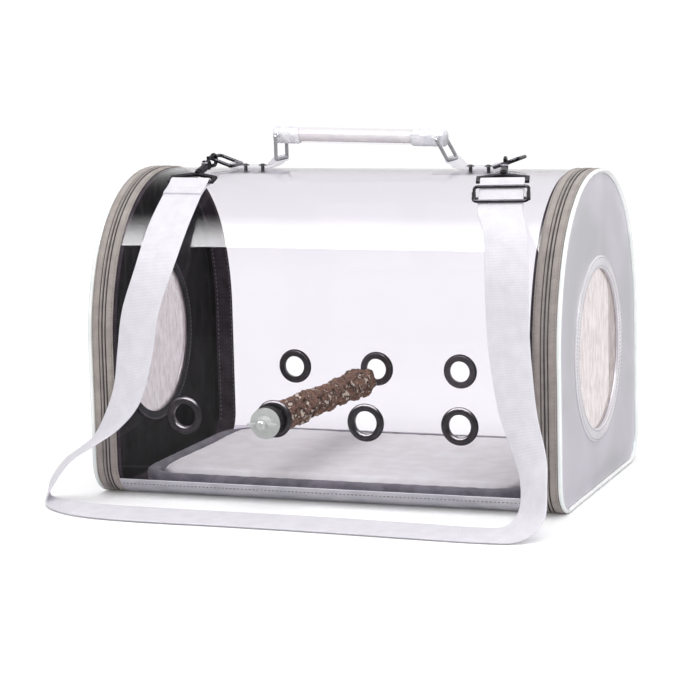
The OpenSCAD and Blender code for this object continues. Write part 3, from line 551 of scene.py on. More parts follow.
# sheets: light and dark colour; grain, drift, relief, crease depth and gap in mm; surface
sheets = {
    "blackNylonLining": ("#1e1a1d", "#0b090b", 0.7, 26, 0.02, 2.5, 30,
                         skinOf(0.75, sheen=0.05, specular=0.12)),
    "silverLeatherette": ("#e0dce6", "#d2d1d6", 0.6, 90, 0.03, 1.0, 70,
                          skinOf(0.42, metal=0.25, coat=0.25, coatRough=0.3)),
    "silverCoatedTrim": ("#dbd8e0", "#c6c4cd", 0.6, 30, 0.05, 0.8, 12,
                         skinOf(0.5, metal=0.2, specular=0.5)),
    "pearlVinylPiping": ("#ffffff", "#f3f7f6", 0.5, 22, 0.02, 0.6, 9,
                         skinOf(0.22, coat=0.6, coatRough=0.12, filmNm=380.0, filmIor=1.4)),
    "paleLeatherette": ("#e6e3e8", "#d8d5db", 0.6, 40, 0.03, 0.9, 10,
                        skinOf(0.4, coat=0.2, coatRough=0.25)),
    "blackBindingTape": ("#201d20", "#0e0c0e", 0.5, 12, 0.06, 0.6, 8, skinOf(0.6)),
    "silverSleeveFilm": ("#fdfcff", "#e2e1ea", 0.5, 9, 0.02, 1.6, 6,
                         skinOf(0.3, metal=0.1, coat=0.7, coatRough=0.1)),
    "pearlGripFilm": ("#fffdfc", "#f6f3f5", 0.6, 14, 0.02, 0.6, 8,
                      skinOf(0.35, coat=0.3, coatRough=0.15)),
    "whitePlush": ("#ffffff", "#f6f4f4", 1.6, 18, 0.25, 0.5, 14,
                   skinOf(0.95, sheen=0.3, specular=0.1)),
    "greyPlushEdging": ("#87858d", "#706e76", 1.5, 12, 0.3, 0.5, 9,
                        skinOf(0.9, sheen=0.3, specular=0.15)),
    "hardBoard": ("#9a8a74", "#7e705d", 0.9, 30, 0.1, 0.3, 20, skinOf(0.8)),
    "polyesterThread": ("#f4f3f6", "#dddce2", 0.4, 6, 0.05, 0.1, 3, skinOf(0.5)),
    "greyThread": ("#a5a1a7", "#858188", 0.4, 6, 0.05, 0.1, 3, skinOf(0.6)),
    "taupeThread": ("#8f8884", "#6f6865", 0.4, 6, 0.05, 0.1, 3, skinOf(0.6)),
    "mouldedRubber": ("#211f20", "#141213", 0.8, 14, 0.12, 0.2, 8, skinOf(0.65)),
}
# metals: light and dark colour, skin in mm, roughness range, relief in mm, metallic
metals = {
    "blackNickelZinc": ("#565459", "#39373c", 1.2, (0.22, 0.38), 0.03, 1.0),
    "gunmetalEyelet": ("#767276", "#565357", 1.4, (0.26, 0.4), 0.03, 1.0),
    "nickelWire": ("#d4d5d8", "#b4b5ba", 2.0, (0.15, 0.28), 0.03, 0.6),
    "zincPlatedSteel": ("#dfe1df", "#c3c6c5", 0.9, (0.25, 0.42), 0.05, 0.35),
    "zipSliderNickel": ("#8f8d8f", "#5f5d60", 1.0, (0.25, 0.4), 0.03, 1.0),
}
paint = {name: make(name, *row)
         for make, kinds in ((clearVinyl, films), (wovenTape, tapes), (sheetGoods, sheets),
                             (platedMetal, metals))
         for name, row in kinds.items()}
windowNet = knittedNet("knittedWindowNet", "#e9dfde", "#c4b6b5")
branchWood = pittedWood("knobblyBranch", "#a07c69", "#593d30", "#e0d0be", "#2f1d15")
print("materials mixed")


# stage: pale floor, white surroundings, soft lamps
lamps = {
    "skyStrength": 0.8, "glossySky": (0.12, 0.9), "glossyFrom": (0.3, 0.85), "aim": (0, 0, 0.12),
    "keyWatts": 17, "keySize": (2.0, 1.6), "keyPlace": (0.05, -0.1, 1.9),
    "fillWatts": 6.2, "fillSize": (1.4, 1.4), "fillPlace": (1.6, -0.9, 0.9),
    "mirrorWatts": 105, "mirrorSize": (2.4, 0.74), "mirrorPlace": (-0.45, -0.43, 1.3),
}
ground = {"size": 12, "paint": "#fafafa", "mirrored": "#8c8c8c",
          "glowReach": (0.5, 1.6), "glow": (0.1, 0.25)}


def lightRays(tree):  # the light path, and where the camera looks straight or through clear parts
    rays = addNode(tree, "LightPath").outputs
    seen = addNode(tree, "Math", {"operation": "MAXIMUM"}, None,
                   {0: rays["Is Camera Ray"], 1: rays["Is Transmission Ray"]})
    return rays["Is Glossy Ray"], seen.outputs[0]


world = bpy.data.worlds.new("studio")
bpy.context.scene.world = world
tree = emptyTree(world)
glossy, seen = lightRays(tree)
direction = addNode(tree, "TexCoord").outputs["Generated"]
parts = addNode(tree, "SeparateXYZ", links={0: direction})
behind = spreadOf(tree, parts.outputs["Y"], *lamps["glossyFrom"], *lamps["glossySky"], "SMOOTHSTEP")
unseen = addNode(tree, "Mix", {"data_type": "FLOAT"}, {2: lamps["skyStrength"]}, {0: glossy, 3: behind})
level = addNode(tree, "Mix", {"data_type": "FLOAT"}, {3: 1.0}, {0: seen, 2: unseen.outputs[0]})
sky = addNode(tree, "Background", None, {"Color": (1, 1, 1, 1)}, {"Strength": level.outputs[0]})
addNode(tree, "OutputWorld", links={"Surface": sky.outputs[0]})

bpy.ops.mesh.primitive_plane_add(size=ground["size"], location=(0, 0, 0))
floor = bpy.context.object
floor.name = "floor"
floorPaint = bpy.data.materials.new("paleFloor")
tree = emptyTree(floorPaint)
glossy, seen = lightRays(tree)
away = addNode(tree, "VectorMath", {"operation": "LENGTH"}, links={0: objectSpot(tree)})
distant = spreadOf(tree, away.outputs["Value"], *ground["glowReach"], *ground["glow"], "SMOOTHSTEP")
shine = addNode(tree, "Math", {"operation": "MULTIPLY"}, None, {0: seen, 1: distant})
# glossy rays see the floor in a darker grey: painted shade in its reflections
matt = addNode(tree, "BsdfDiffuse", None, None,
               {"Color": mixOf(tree, ground["paint"], ground["mirrored"], glossy)})
glow = addNode(tree, "Emission", None, {"Color": (1, 1, 1, 1)}, {"Strength": shine.outputs[0]})
both = addNode(tree, "AddShader", links={0: matt.outputs[0], 1: glow.outputs[0]})
addNode(tree, "OutputMaterial", links={"Surface": both.outputs[0]})
floor.data.materials.append(floorPaint)

for name in ("key", "fill", "mirror"):
    lampPlace = Vector(lamps[name + "Place"])
    bpy.ops.object.light_add(type="AREA", location=lampPlace)
    lamp = bpy.context.object
    lamp.name = name + "Lamp"
    lamp.data.shape = "RECTANGLE"
    lamp.data.size, lamp.data.size_y = lamps[name + "Size"]
    lamp.data.energy = lamps[name + "Watts"]
    lamp.visible_camera = False
    if name == "mirror":  # a strip that only the glossy skins pick up, fading to one side
        lamp.visible_diffuse = lamp.visible_transmission = False
        lamp.data.use_shadow = False
        lamp.data.use_nodes = True
        tree = lamp.data.node_tree
        strip = addNode(tree, "NewGeometry").outputs["Parametric"]
        fade = addNode(tree, "SeparateXYZ", links={0: strip})
        soft = spreadOf(tree, fade.outputs["Y"], 0.0, 1.0, 1.0, 0.0, "SMOOTHSTEP")
        tree.links.new(soft, tree.nodes["Emission"].inputs["Strength"])
    else:
        lamp.visible_glossy = False
        aim = Vector(lamps["aim"]) - lampPlace
        lamp.rotation_euler = aim.to_track_quat("-Z", "Y").to_euler()
print("stage set")


# shoulder strap, in mm: its ends hang from the hooks, its two edges are laid through points
webbing = {"width": 38, "thick": 1.4, "steps": 8, "foldSteps": 5, "smooth": 50,
           "stitchInset": 3.2, "stitchPitch": 2.9, "stitch": (2.1, 0.3)}
ring = {"barX": 123.5, "barY": -13.6, "barZ": 282.01, "lift": 20}
hooks = {
    "bossReach": 35, "loopReach": 13, "loopDrop": 8,
    "left": {"x": -139.5, "yaw": -5, "pitch": 16.5, "drop": 13, "tail": 20},
    "right": {"x": 134, "yaw": 13, "pitch": 11.5, "drop": 14, "tail": 51},
}


def strapFrame(side):  # local frame of the sewn end: -Y runs away from the bar, Z lies off the shell
    hook = hooks[side]
    height = ring["barZ"] + (abs(hook["x"]) - ring["barX"]) * tan(rad(ring["lift"]))
    return (Matrix.Translation(Vector((hook["x"], ring["barY"], height)))
            @ spun(hook["yaw"], "Z") @ spun(hook["pitch"], "X")
            @ Matrix.Translation((0, -hooks["bossReach"], 0)) @ spun(hooks["loopDrop"], "X")
            @ Matrix.Translation((0, -hooks["loopReach"], 0))
            @ spun(hook["drop"] - hooks["loopDrop"], "X"))


strapFrames = {side: strapFrame(side) for side in ("left", "right")}
halfWide, halfThick = webbing["width"] / 2, webbing["thick"] / 2
edges = {-1: [
    (-165, -107, 237), (-168, -132, 203), (-177, -141, 167),
    (-182, -143, 132), (-186, -143, 105), (-193, -143, 83), (-206, -143, 58),
    (-220, -144, 46), (-236, -144, 34), (-249, -146, 17), (-248, -154, 5),
    (-228, -175, 5), (-190, -187, 5), (-130, -190, 5), (-70, -190, 5),
    (15, -191, 5), (105, -195, 5), (160, -199, 5), (183, -197, 7),
    (191, -183, 18), (188, -168, 40), (178, -157, 60), (164, -148, 95),
    (154, -143, 150), (152, -141, 200), (147, -126, 235),
], 1: [
    (-127, -107, 237), (-130, -136, 203), (-140, -147, 167),
    (-145, -151, 132), (-150, -157, 104), (-158, -159, 85), (-174, -163, 67),
    (-191, -175, 54), (-214, -176, 40), (-230, -178, 21), (-235, -188, 4),
    (-211, -210, 1.5), (-177, -223, 1.5), (-123, -228, 1.5), (-60, -228, 1.5),
    (22, -229, 1.5), (112, -233, 1.5), (174, -234, 1.5), (204, -228, 3),
    (218, -208, 16), (216, -191, 42), (211, -174, 62), (199, -159, 97),
    (192, -148, 150), (190, -143, 200), (185, -127, 235),
]}


def smoothRun(points, steps):  # a curve through all the points
    found = []
    last = len(points) - 1
    for i in range(last):
        a, b, c, d = points[max(i - 1, 0)], points[i], points[i + 1], points[min(i + 2, last)]
        for k in range(steps):
            t = k / steps
            found.append(0.5 * (2 * b + (c - a) * t + (2 * a - 5 * b + 4 * c - d) * t ** 2
                                + (3 * b - a - 3 * c + d) * t ** 3))
    return found + [points[-1]]


def laidEdge(way):
    start, stop = (strapFrames[side] @ Vector((way * halfWide, -hooks[side]["tail"], height))
                   for side, height in (("left", -halfThick), ("right", halfThick)))
    return smoothRun([start, *(Vector(p) for p in edges[way]), stop], webbing["steps"])


runA, runB = laidEdge(-1), laidEdge(1)
final = len(runA) - 1
strapWay = []  # middle, sideways and face of each station, with the length so far, in mm
for i, (a, b) in enumerate(zip(runA, runB)):
    middle = (a + b) / 2
    sideways = (b - a).normalized()
    before, after = max(i - 1, 0), min(i + 1, final)
    forward = ((runA[after] + runB[after]) - (runA[before] + runB[before])).normalized()
    if i in (0, final):
        side, way = ("left", 1) if i == 0 else ("right", -1)
        face = way * (strapFrames[side].to_3x3() @ Vector((0, 0, 1))).normalized()
    else:
        face = forward.cross(sideways).normalized()
    travelled = 0 if i == 0 else strapWay[-1][3] + (middle - strapWay[-1][0]).length
    strapWay.append((middle, sideways, face, travelled))

# upper half of the webbing's section: share of the width, share of the thickness
bandSection = [(-1.0, 0.25), (-0.985, 0.8), (-0.94, 0.95), (-0.5, 1.0), (0, 1.0), (0.5, 1.0),
               (0.94, 0.95), (0.985, 0.8), (1.0, 0.25)]


def ribbon(name, stations):  # closed flat band of webbing with its weave map, stations in mm
    outline = [(u * halfWide, v * halfThick) for u, v in bandSection]
    outline += [(u, -v) for u, v in reversed(outline)]
    count, rows = len(outline), len(stations) - 1
    verts = [(middle + sideways * u + face * v) * mm
             for middle, sideways, face, way in stations for u, v in outline]
    faces = [[count * i + k, count * i + (k + 1) % count, count * (i + 1) + (k + 1) % count,
              count * (i + 1) + k] for i in range(rows) for k in range(count)]
    faces += [list(range(count))[::-1], [count * rows + k for k in range(count)]]
    piece = fromPoints(name, verts, faces)
    mesh = piece.data
    weave = mesh.uv_layers.new(name="weave")
    for face in mesh.polygons:
        for corner in face.loop_indices:
            i, k = divmod(mesh.loops[corner].vertex_index, count)
            weave.data[corner].uv = (stations[i][3] * mm, outline[k][0] * mm)
    return shaped(piece, webbing["smooth"], None)


# the strap is cut where its bodies change, and each short piece spans one joint
strapCuts = {"left": [0, 5, 11, 22], "right": [0, 4, 9, 20]}
for side, way in (("left", strapWay), ("right", strapWay[::-1])):
    for n, (first, stop) in enumerate(zip(strapCuts[side], strapCuts[side][1:])):
        part = ribbon(f"{side}_strap_top_{n + 1}", way[first:stop + 1])
        settle(part, paint["polyesterWebbing"], None, "webbing", "shoulder_strap")
        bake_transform(part)
mainRun = strapWay[strapCuts["left"][-1]:len(strapWay) - strapCuts["right"][-1]]
mainStrap = ribbon("shoulder_strap_run", mainRun)
settle(mainStrap, paint["polyesterWebbing"], "carrier", "webbing", "shoulder_strap")

# side view of each sewn end, from its tail round the loop's bar and back: (reach, height) in mm
wrap = 2.45
around = [(wrap * cos(rad(a)), wrap * sin(rad(a))) for a in range(70, 291, 20)]
folds = {
    "left": [(20, 0.72), (15, 0.72), (10, 0.72), (5.5, 1.4), *around,
             (5.5, -1.4), (10, -0.72), (15, -0.72), (19.8, -0.72)],
    "right": [(51, 0.7), (44, 0.7), (30, 0.7), (20, 0.7), (12, 0.72), (6, 1.5), *around,
              (6, -2.75), (12, -3.0), (20, -3.02), (30, -3.02), (41.8, -3.02)],
}
for side, points in folds.items():
    turn = strapFrames[side].to_3x3()
    line = smoothRun([Vector((x, y, 0)) for x, y in points], webbing["foldSteps"])
    stations, travelled = [], 0
    for i, p in enumerate(line):
        forward = (line[min(i + 1, len(line) - 1)] - line[max(i - 1, 0)]).normalized()
        travelled += (p - line[i - 1]).length if i else 0
        stations.append((strapFrames[side] @ Vector((0, -p.x, p.y)),
                         (turn @ Vector((1, 0, 0))).normalized(),
                         (turn @ Vector((0, forward.y, forward.x))).normalized(), travelled))
    part = ribbon(side + "_strap_fold", stations)
    settle(part, paint["polyesterWebbing"], side + "_loop", "webbing", side + "_strap_end")
print("strap laid:", round(strapWay[-1][3]), "mm of webbing between its sewn ends")


# threads standing a little proud, one low capsule shape repeated along a row
def stitchRow(name, stations, length=2.5, thick=0.32):
    bpy.ops.mesh.primitive_uv_sphere_add(segments=6, ring_count=4, radius=1)
    seed = bpy.context.object
    shape = [v.co.copy() for v in seed.data.vertices]
    sides = [list(f.vertices) for f in seed.data.polygons]
    bpy.data.objects.remove(seed)
    verts, faces = [], []
    for spot, along, out in stations:
        aside = out.cross(along)
        first = len(verts)
        verts += [(spot + along * p.z * length / 2 + out * p.x * thick + aside * p.y * thick) * mm
                  for p in shape]
        faces += [[first + k for k in f] for f in sides]
    return shaped(fromPoints(name, verts, faces), 80, same)


def outlineStations(x, depth, pitch, lowest):  # stitch places round the outline
    loop = outlineLoop(depth)
    stations, left = [], 0.0
    for a, b in zip(loop, loop[1:] + loop[:1]):
        gap = (b - a).length
        if gap < 1e-6:
            continue
        t = (b - a) / gap
        while left < gap:
            p = a + t * left
            if p.y > lowest:
                stations.append((Vector((x, p.x, p.y)), Vector((0, t.x, t.y)), Vector((0, t.y, -t.x))))
            left += pitch
        left -= gap
    return stations


def ringStations(x, radius, count):  # stitch places round the window
    found = []
    for k in range(count):
        a = 2 * pi * (k + 0.5) / count
        out = Vector((0, cos(a), sin(a)))
        found.append((Vector((x, 0, section["windowHeight"])) + out * radius,
                      Vector((0, -sin(a), cos(a))), Vector((1, 0, 0))))
    return found


# clear sheet over the body, with its eyelet holes cut through
sheet = {"halfLength": 195, "strips": 13, "outer": 1.2, "inner": 2.4, "startAngle": -56.4,
         "holeRadius": 11.4, "holeHeight": 75.7, "holesAt": (-124, -40.6, 42.8, 126.2),
         "drillSides": 48, "drillLength": 0.3}
lines = [-sheet["halfLength"] + 2 * sheet["halfLength"] / sheet["strips"] * k
         for k in range(sheet["strips"] + 1)]
clearSheet = hoop("clear_sheet", flatProfile(lines, sheet["outer"], sheet["inner"]), sheet["startAngle"])
drills = []
for x in sheet["holesAt"]:
    bpy.ops.mesh.primitive_cylinder_add(
        vertices=sheet["drillSides"], radius=sheet["holeRadius"] * mm, depth=sheet["drillLength"],
        location=(x * mm, 0, sheet["holeHeight"] * mm), rotation=(rad(90), 0, 0))
    drills.append(bpy.context.object)
pick(*drills)
bpy.ops.object.join()
drill = bpy.context.object
applyModifier(clearSheet, "BOOLEAN", operation="DIFFERENCE", object=drill, solver="EXACT")
bpy.data.objects.remove(drill)
bpy.ops.object.shade_smooth_by_angle(angle=rad(35))
settle(clearSheet, paint["clearVinylSheet"], "carrier", "clear_sheet", "clear_shell")
print("clear sheet cut")

# silver cover of the bottom, its trim turned up over the sheet's lower edge
base = {"halfLength": 190, "strips": 10, "startAngle": 209, "thick": 1.2, "edge": 0.3,
        "stitchDepth": -0.12, "stitchHeight": 11.4, "stitchFrom": -187, "stitchPitch": 3.63,
        "stitches": 104, "stitch": (2.5, 0.42)}
lines = [-base["halfLength"] + 2 * base["halfLength"] / base["strips"] * k
         for k in range(base["strips"] + 1)]
baseCover = startAt("base_cover_cloth", flatProfile(lines, 0, base["thick"]), bends[6],
                    base["startAngle"])
sweep(baseCover, [turnAlong(bends[6], base["startAngle"], 270),
                  ("run", (0, straightAcross * mm, 0), base["strips"]),
                  turnAlong(bends[0], -90, 180 - base["startAngle"])])
closeEnds(baseCover)
mapAlong(shaped(baseCover))
applyModifier(baseCover, "BEVEL", width=base["edge"] * mm, segments=2, limit_method="ANGLE",
              angle_limit=rad(50))
settle(baseCover, paint["silverCoatedTrim"], "carrier", "base_fabric", "base_cover")
threadRadius = section["cornerRadius"] - base["stitchDepth"]
angle = asin((base["stitchHeight"] - cornerCentre.y) / threadRadius)
reach = cornerCentre.x + threadRadius * cos(angle)
trimStations = [(Vector((base["stitchFrom"] + base["stitchPitch"] * k, side * reach, base["stitchHeight"])),
                 Vector((1, 0, 0)), Vector((0, side * cos(angle), sin(angle))))
                for side in (-1, 1) for k in range(base["stitches"])]
trimStitches = stitchRow("trim_stitches", trimStations, *base["stitch"])
settle(trimStitches, paint["taupeThread"], "carrier", "base_fabric")
print("base covered")

# one end: taupe bands, zip halves, black inner band; then its mirror
# the two x spans in mm beside each zip tape are grooves painted dark, as shade
ends = {"zipFrom": -68.96, "doorFrom": -78.5, "shadedGrooves": ((196.45, 197.38), (202.62, 203.55)),
        "bandStitch": (-0.06, 3.3, 10), "liningStitch": (3.3, 4.2, 20)}
# profile of (x, depth) in mm, first angle, material, body, slot, node replaced
hoops = {
    "band_tape": ([(190, 1.15), (190, 0.35), (190.5, 0.05), (193.2, 0), (195.9, 0.05), (196.4, 0.35),
                   (196.4, 1.15)], None, "taupeGrosgrain", "carrier", "edging", "band"),
    "door_tape": ([(203.6, 1.15), (203.6, 0.35), (204.1, 0.05), (206.8, 0), (209.5, 0.05), (210, 0.35),
                   (210, 1.15)], ends["doorFrom"], "taupeGrosgrain", "door", "edging", "door_band"),
    "zip_tape": ([(196.4, 0.9), (196.45, 0.75), (197.35, 0.7), (197.4, 0.0), (197.8, -0.36),
                  (198.5, -0.44), (199.0, -0.25), (199.3, 0.2), (199.3, 0.9)],
                 ends["zipFrom"], "zipTapeNylon", "carrier", "zip_tape", "fixed_zip"),
    "door_zip_tape": ([(200.7, 0.9), (200.7, 0.2), (201.0, -0.25), (201.5, -0.44), (202.2, -0.36),
                       (202.6, 0.0), (202.65, 0.7), (203.55, 0.75), (203.6, 0.9)],
                      ends["zipFrom"], "zipTapeNylon", "door", "zip_tape", "door_zip"),
    "zip_coil": ([(199.1, 1.2), (199.1, 0.95), (200.75, 0.95), (200.75, 1.2)],
                 ends["zipFrom"], "coilTeethNylon", "door", "zip_tape", None),
    "inner_band": ([(187.2, 3.3), (187.2, 2.55), (187.6, 2.46), (195, 2.5), (204.1, 2.46),
                    (204.5, 2.55), (204.5, 3.3), (195, 3.2)],
                   None, "blackLiningTape", "carrier", "lining", "band_lining"),
}
made = {}
for name, (profile, first, material, body, slot, node) in hoops.items():
    made[name] = bothEnds(hoop("right_" + name, profile, first), paint[material], body, slot, node)
for part in made["zip_tape"] + made["door_zip_tape"]:  # the groove beside each tape gets the dark coil colour as painted shade
    part.data.materials.append(paint["coilTeethNylon"])
    for face in part.data.polygons:
        reach = abs(face.center.x) / mm
        face.material_index = int(any(low < reach < high for low, high in ends["shadedGrooves"]))
# x in mm, row, thread, body, slot, length and thickness of a stitch
rows = {
    "band_stitches": (191.4, "bandStitch", "taupeThread", "carrier", "edging", (2.5, 0.32)),
    "door_stitches": (208.7, "bandStitch", "taupeThread", "door", "edging", (2.5, 0.32)),
    "lining_stitches_1": (188.6, "liningStitch", "greyThread", "carrier", "lining", (2.6, 0.3)),
    "lining_stitches_2": (202.2, "liningStitch", "greyThread", "carrier", "lining", (2.6, 0.3)),
}
for name, (x, kind, thread, body, slot, size) in rows.items():
    row = stitchRow("right_" + name, outlineStations(x, *ends[kind]), *size)
    bothEnds(row, paint[thread], body, slot)

pipe = {"x": 212.1, "radius": 2.1, "smooth": 60}
cord = [(pipe["x"] + pipe["radius"] * cos(rad(a)), pipe["radius"] * (1 + sin(rad(a))))
        for a in range(0, 360, 24)]
piping = hoop("right_piping_cord", cord, None, pipe["smooth"])
bothEnds(piping, paint["pearlVinylPiping"], "door", "piping", "piping")

flap = {"from": -111.6, "length": 0.2232, "steps": 24}  # the strip under each door that it turns on
flapProfile = [(196.5, 0.1), (209.85, 0.1), (209.95, 0.3), (209.95, 1.0), (209.6, 1.15), (203.2, 1.2),
               (196.8, 1.15), (196.45, 1.0), (196.45, 0.3)]
for name, way in (("left", -1), ("right", 1)):
    strip = loopStart(name + "_hinge_strip",
                      [Vector((way * x, flap["from"], z)) * mm for x, z in flapProfile])
    sweep(strip, [("run", (0, flap["length"], 0), flap["steps"])])
    closeEnds(strip)
    settle(mapAlong(shaped(strip)), paint["taupeGrosgrain"], "carrier", "edging", "door_flaps")
print("bands and zips sewn")

# door: coated panel, pillowed outwards, and slack lining, creased towards the cabin
door = {"inside": 210.04, "thick": 1.2, "rim": 4.2, "hole": 70, "rings": 16, "pillow": 0.9,
        "ripple": 0.35, "rippleMm": 46, "flatRim": (4, 16), "flatWindow": (84, 14)}


def slackness(spot, rim, window):  # 0 up to a distance from rim and window, then rising to 1
    away = (Vector((spot.y, spot.z)) - windowCentre).length
    return (softStep((rimDepth(spot.y, spot.z) - rim[0]) / rim[1])
            * softStep((away - window[0]) / window[1]))


guide = outlineLoop(door["rim"])
panel = stacked("right_door_face", [(door["inside"], loop) for loop in
                                    (guide, windowLoop(door["hole"], guide))], [door["rings"]])
shaped(panel, 40)
applyModifier(panel, "SOLIDIFY", thickness=door["thick"] * mm, offset=0)
lowest = min(v.co.x for v in panel.data.vertices)
for vertex in panel.data.vertices:
    vertex.co.x += door["inside"] * mm - lowest
    if vertex.co.x > (door["inside"] + door["thick"] / 2) * mm:
        spot = vertex.co / mm
        lift = slackness(spot, door["flatRim"], door["flatWindow"])
        wave = wander(7.3, spot.y / door["rippleMm"], spot.z / door["rippleMm"])
        vertex.co.x += (door["pillow"] * lift + door["ripple"] * wave * lift) * mm
shaped(panel, 40, same)
bothEnds(panel, paint["silverLeatherette"], "door", "door_sheet", "door_panel")

cabin = {"from": 204.7, "inside": 208.2, "face": 208.62, "depth": 1.75, "faceDepth": 2.6, "hole": 72.4,
         "thick": 0.7, "crease": 2.6, "flatRim": (5, 12), "flatWindow": (82, 12)}
guide = outlineLoop(cabin["depth"])
doorCloth = stacked("right_door_cloth", [
    (cabin["from"], guide), (cabin["inside"], guide), (cabin["face"], outlineLoop(cabin["faceDepth"])),
    (cabin["face"], windowLoop(cabin["hole"], guide))], [1, 1, 18])
shaped(doorCloth, 60)
applyModifier(doorCloth, "SOLIDIFY", thickness=cabin["thick"] * mm, offset=0)
for vertex in doorCloth.data.vertices:
    spot = vertex.co / mm
    free = slackness(spot, cabin["flatRim"], cabin["flatWindow"])
    fold = wander(spot.y / 15 + 0.5 * sin(spot.z / 19), spot.z / 34, 2.7)
    fold += 0.5 * wander(spot.y / 8, spot.z / 10, 9.1)
    vertex.co.x -= cabin["crease"] * free * max(0.0, fold + 0.25) * mm
shaped(doorCloth, 60, same)
bothEnds(doorCloth, paint["blackNylonLining"], "door", "lining", "door_lining")


def spunRing(name, profile, turns):  # profile points are (x, radius) in mm about the window
    centre = section["windowHeight"]
    piece = loopStart(name, [Vector((x, 0, centre + r)) * mm for x, r in profile])
    sweep(piece, [("turn", Vector((0, 0, centre * mm)), (1, 0, 0), 360, turns)])
    return shaped(piece, 40)


# window: ring sewn outside, binding inside, net between
windowRing = spunRing("right_window_trim", [
    (211.32, 70.3), (212.3, 70.0), (212.9, 70.8), (213.0, 72.0), (213.35, 74), (213.4, 77),
    (213.05, 79.3), (212.9, 80.4), (212.3, 81.2), (211.32, 81.1)], 128)
bothEnds(windowRing, paint["paleLeatherette"], "door", "window_trim", "window_ring")
windowBinding = spunRing("right_window_tape", [
    (208.05, 70.1), (208.05, 78.8), (207.7, 79), (207.1, 78.4), (206.85, 74.5), (207.1, 70.6),
    (207.7, 70.0)], 96)
bothEnds(windowBinding, paint["blackBindingTape"], "door", "binding", "window_binding")
# x and radius in mm, count, slot, length and thickness of a stitch
rounds = {
    "ring_stitches_1": (213.0, 72.0, 130, "window_trim", (2.4, 0.36)),
    "ring_stitches_2": (213.0, 79.4, 143, "window_trim", (2.4, 0.36)),
    "binding_stitches": (206.95, 76.9, 120, "binding", (2.4, 0.3)),
}
for name, (x, radius, count, slot, size) in rounds.items():
    row = stitchRow("right_" + name, ringStations(x, radius, count), *size)
    bothEnds(row, paint["greyThread"], "door", slot)

net = {"x": 209.55, "radius": 77, "bulge": 0.25, "rings": 9, "sides": 96}
bpy.ops.mesh.primitive_circle_add(vertices=net["sides"], radius=net["radius"] * mm, fill_type="NGON")
windowCloth = bpy.context.object
windowCloth.name = windowCloth.data.name = "right_window_net"
editing(windowCloth)
for k in range(net["rings"]):
    bpy.ops.mesh.inset(thickness=net["radius"] / (net["rings"] + 1) * mm, depth=0)
setMode(mode="OBJECT")
for vertex in windowCloth.data.vertices:
    y, z = vertex.co.x, vertex.co.y
    near = 1 - (hypot(y, z) / (net["radius"] * mm)) ** 2
    vertex.co = Vector((net["x"] * mm + net["bulge"] * near * mm, y, z + section["windowHeight"] * mm))
shaped(windowCloth, 60, same, False)
for part in bothEnds(windowCloth, windowNet, "door", "mesh", "mesh"):
    side = part.name.split("_")[0]
print("doors hung")

# handle: core and clear tube between two crumpled sleeves
handle = {"leftTop": (-79.5, 309.5), "span": 150.6, "slope": -1.03, "over": 5, "leftSleeve": 24,
          "rightSleeve": 31, "core": 5.4, "tube": 7.0, "tubeWall": 1.3, "sleeve": 8.0, "gap": 0.1,
          "sleeveSides": 56, "sleeveRings": 30, "mouth": 5.6, "closed": 2.0, "crumple": 0.75}
gripFrame = (Matrix.Translation(Vector((handle["leftTop"][0], 0, handle["leftTop"][1])) * mm)
             @ spun(-handle["slope"], "Y"))


def gripBar(name, profile, sides=40):  # profile points are (reach, radius), drawn round the grip
    angles = [2 * pi * k / sides for k in range(sides)]
    rings = [[Vector((x, r * cos(a), r * sin(a))) * mm for a in angles] for x, r in profile]
    piece = loopStart(name, rings[0])
    editing(piece)
    for (reach, _), (x, _) in zip(profile, profile[1:]):
        extrude(Vector(((x - reach) * mm, 0, 0)))
    setMode(mode="OBJECT")
    for i, vertex in enumerate(piece.data.vertices):
        k = round(atan2(vertex.co.z, vertex.co.y) / (2 * pi) * sides) % sides
        vertex.co = rings[i // sides][k]
    return piece


span, over, coreRadius = handle["span"], handle["over"], handle["core"]
nose = [(over - 1.6, 2.0), (over - 1.6, 4.6), (over - 2.4, coreRadius)]  # past each end
core = gripBar("grip_padding", [(-x, r) for x, r in nose] + [(k, coreRadius) for k in range(0, 150, 6)]
               + [(span + x, r) for x, r in nose[::-1]])
closeEnds(core)
first = handle["leftSleeve"] - over + handle["gap"]
stop = span + over - handle["rightSleeve"] - handle["gap"]
outerWall = [(first + (stop - first) * k / 24, handle["tube"]) for k in range(25)]
innerWall = [(x, handle["tube"] - handle["tubeWall"]) for x, r in outerWall[::-1]]
tube = gripBar("grip_clear_tube", outerWall + innerWall + outerWall[:1])
for piece in (core, tube):
    shaped(piece, 50)
    piece.data.transform(gripFrame)
settle(core, paint["pearlGripFilm"], "grip", "door_sheet", "grip_core")
settle(tube, paint["clearVinylTube"], "grip", "clear_sheet", "grip_tube")

